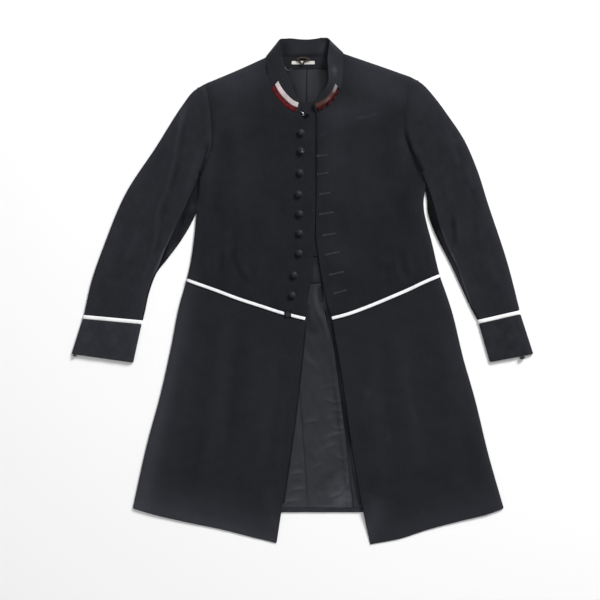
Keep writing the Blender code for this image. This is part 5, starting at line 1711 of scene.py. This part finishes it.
SILK_TWIST = thread("silk_twist", (0.014, 0.0150, 0.0190), (0.040, 0.042, 0.051))
parts = []
for hole in BUTTONHOLES:
    line = on_cloth(keyhole(*hole), 0.1)
    strands = TWIST_RADIUS * (1 + TWIST_SWELL * np.sin(np.arange(len(line)) * 2 * np.pi / 4))
    parts.append(tube(line, strands, around=8, closed=True))
sewn_on["right"].append(piece("buttonholes", parts, SILK_TWIST))

# Stitching: hand stitches of black thread, each a small bead pressed into the cloth: along the front
# edges, in the ditch of both pipings, round the linings and facings, and white ones round the label.
BLACK_THREAD = thread("black_thread", (0.0065, 0.0067, 0.0080), (0.0110, 0.0112, 0.0130))


def stitches(lines, long, pitch, radius, slant=0.0, around=6, rings=5):
    """One closed bead for each stitch: a sine-shaped swelling along it, with its ends sunk."""
    centres, ways = [], []
    for line in lines:
        run = run_of(line)
        at = np.arange(pitch / 2, run[-1], pitch)
        centres.append(points_at(at, run, line))
        ways.append(points_at(at + 0.4, run, line) - points_at(at - 0.4, run, line))
    centre, way = np.concatenate(centres), np.concatenate(ways)
    way /= np.linalg.norm(way, axis=1)[:, None]
    cos, sin = np.cos(slant), np.sin(slant)
    way = np.stack([cos * way[:, 0] - sin * way[:, 1], sin * way[:, 0] + cos * way[:, 1], way[:, 2]], axis=1)
    beside, up = beside_and_up(way)
    s = np.linspace(-1, 1, rings)
    swell = radius * np.sqrt(np.maximum(1 - 0.93 * s**2, 0))
    lift = -0.55 * radius * s**2
    angle = np.linspace(0, 2 * np.pi, around, endpoint=False)
    points = (
        centre[:, None, None]
        + way[:, None, None] * (long / 2 * s)[None, :, None, None]
        + up[:, None, None] * (lift[:, None] + swell[:, None] * np.cos(angle))[None, ..., None]
        + beside[:, None, None] * (swell[:, None] * np.sin(angle))[None, ..., None]
    )
    start = rings * around * np.arange(len(centre))[:, None, None]
    faces = [(one[None] + start).reshape(-1, one.shape[1]) for one in ring_faces(rings, around)]
    return points.reshape(-1, 3), *faces


def straight(start, end, height):
    """Two points at one height."""
    return np.array([(*start, height), (*end, height)], float)


DITCH = PIPING_WIDTH / 2 + 1.0  # from the waist seam to the stitches beside its piping
EDGE_SEWING = 6.0  # from a front's edge to the stitches along it
HOOK_SEWING = [[(-7, 374.5), (-1, 372.5)], [(-6, 372), (2, 374)], [(-2, 375.5), (3, 372.5)]]
for side in ("left", "right"):
    front = smooth_line(FRONT_EDGE[side], np.linspace(0.02, 0.99, 150))
    lines = [on_cloth(shifted(front, -SIGN[side] * EDGE_SEWING), -0.05)]
    for offset in (DITCH, -DITCH):
        lines.append(on_cloth(waist_line(side, offset, np.linspace(0.03, 0.97, 130))))
    if side == "left":
        lines.extend(on_cloth(np.array(ends, float), 0.1) for ends in HOOK_SEWING)
    beads = stitches(lines, long=1.8, pitch=3.0, radius=0.2)
    sewing = piece(f"front_stitching_{side}", [beads], BLACK_THREAD)
felled = [
    straight((-66, -467.4), (146, -467.4), PANEL_TOP + 0.5),
    straight((-11, 18.4), (68, 18.4), PANEL_TOP + 0.35),
    straight((-10, 72.6), (62, 72.6), PANEL_TOP + 0.35),
    straight((-58, 479.2), (76, 479.2), PANEL_TOP + 0.25),
]
beads = stitches(felled + FELLED_EDGES, long=1.6, pitch=3.6, radius=0.22, slant=0.6)
piece("felling", [beads], BLACK_THREAD)
TAPE_TOP = PANEL_TOP + 1.42
taped = [
    straight((-22, 488.6), (25, 488.6), TAPE_TOP),
    straight((-22, 493.8), (25, 493.8), TAPE_TOP),
    straight((-22.6, 489), (-22.2, 493.6), TAPE_TOP),
    straight((25.6, 489), (25.4, 493.6), TAPE_TOP),
]
WHITE_THREAD = thread("white_thread", (0.30, 0.29, 0.27), (0.50, 0.49, 0.46))
beads = stitches(taped, long=1.2, pitch=2.2, radius=0.16)
piece("label_stitching", [beads], WHITE_THREAD)
beads = stitches(STRIPE_EDGES, long=1.0, pitch=2.6, radius=0.14)
piece("stripe_stitching", [beads], BLACK_THREAD)

# Light, floor and camera: the coat lies on a plain white floor under a broad soft light and a weaker
# one from the upper right, and is seen from straight above.
PIXEL = 2.15  # what one pixel of the 600 x 600 frame shows of the surface
FRAME_PIXELS = 600
COAT_OFFSET = (-2.5, -9.25)  # pixels from the coat's middle to the frame's
CAMERA_UP = 4.0
CAMERA_LIFT = 0.008  # it looks at the laid cloth, not at the floor
SENSOR = 36
FLOOR_HALF = 6
floor_mesh = bpy.data.meshes.new("floor")
corners = [(FLOOR_HALF * x, FLOOR_HALF * y, 0) for x, y in ((-1, -1), (1, -1), (1, 1), (-1, 1))]
floor_mesh.from_pydata(corners, [], [(0, 1, 2, 3)])
floor = bpy.data.objects.new("floor", floor_mesh)
bpy.context.scene.collection.objects.link(floor)
paper, _, _, shader = nodes_of("white_floor")
shader.inputs["Base Color"].default_value = (0.9, 0.9, 0.9, 1)
gloss(shader, roughness=0.9, specular=0.1)
floor_mesh.materials.append(paper)


def area_light(name, power, size, place):
    """A square area light that looks at the coat's middle."""
    lamp = bpy.data.lights.new(name, "AREA")
    lamp.energy = power
    lamp.size = size
    obj = bpy.data.objects.new(name, lamp)
    obj.location = place
    way = -np.array(place, float)
    way /= np.linalg.norm(way)
    obj.rotation_euler = (np.arccos(-way[2]), 0, np.arctan2(way[1], way[0]) - np.pi / 2)
    bpy.context.scene.collection.objects.link(obj)


area_light("overhead", power=30, size=3.2, place=(0.0, 0.0, 3.0))
area_light("key", power=560, size=2.4, place=(3.2, 4.7, 4.2))
world = bpy.data.worlds.new("soft_room")
world.use_nodes = True
backdrop = world.node_tree.nodes["Background"]
backdrop.inputs["Color"].default_value = (1, 1, 1, 1)
backdrop.inputs["Strength"].default_value = 0.26
bpy.context.scene.world = world
bpy.context.scene.view_settings.view_transform = "Standard"

lens = bpy.data.cameras.new("camera")
lens.sensor_width = SENSOR
lens.lens = SENSOR * CAMERA_UP / (FRAME_PIXELS * PIXEL * MM)
camera = bpy.data.objects.new("camera", lens)
aside = [pixels * PIXEL * MM for pixels in COAT_OFFSET]
camera.location = MIDDLE + np.array([*aside, CAMERA_UP + CAMERA_LIFT])
bpy.context.scene.collection.objects.link(camera)
bpy.context.scene.camera = camera
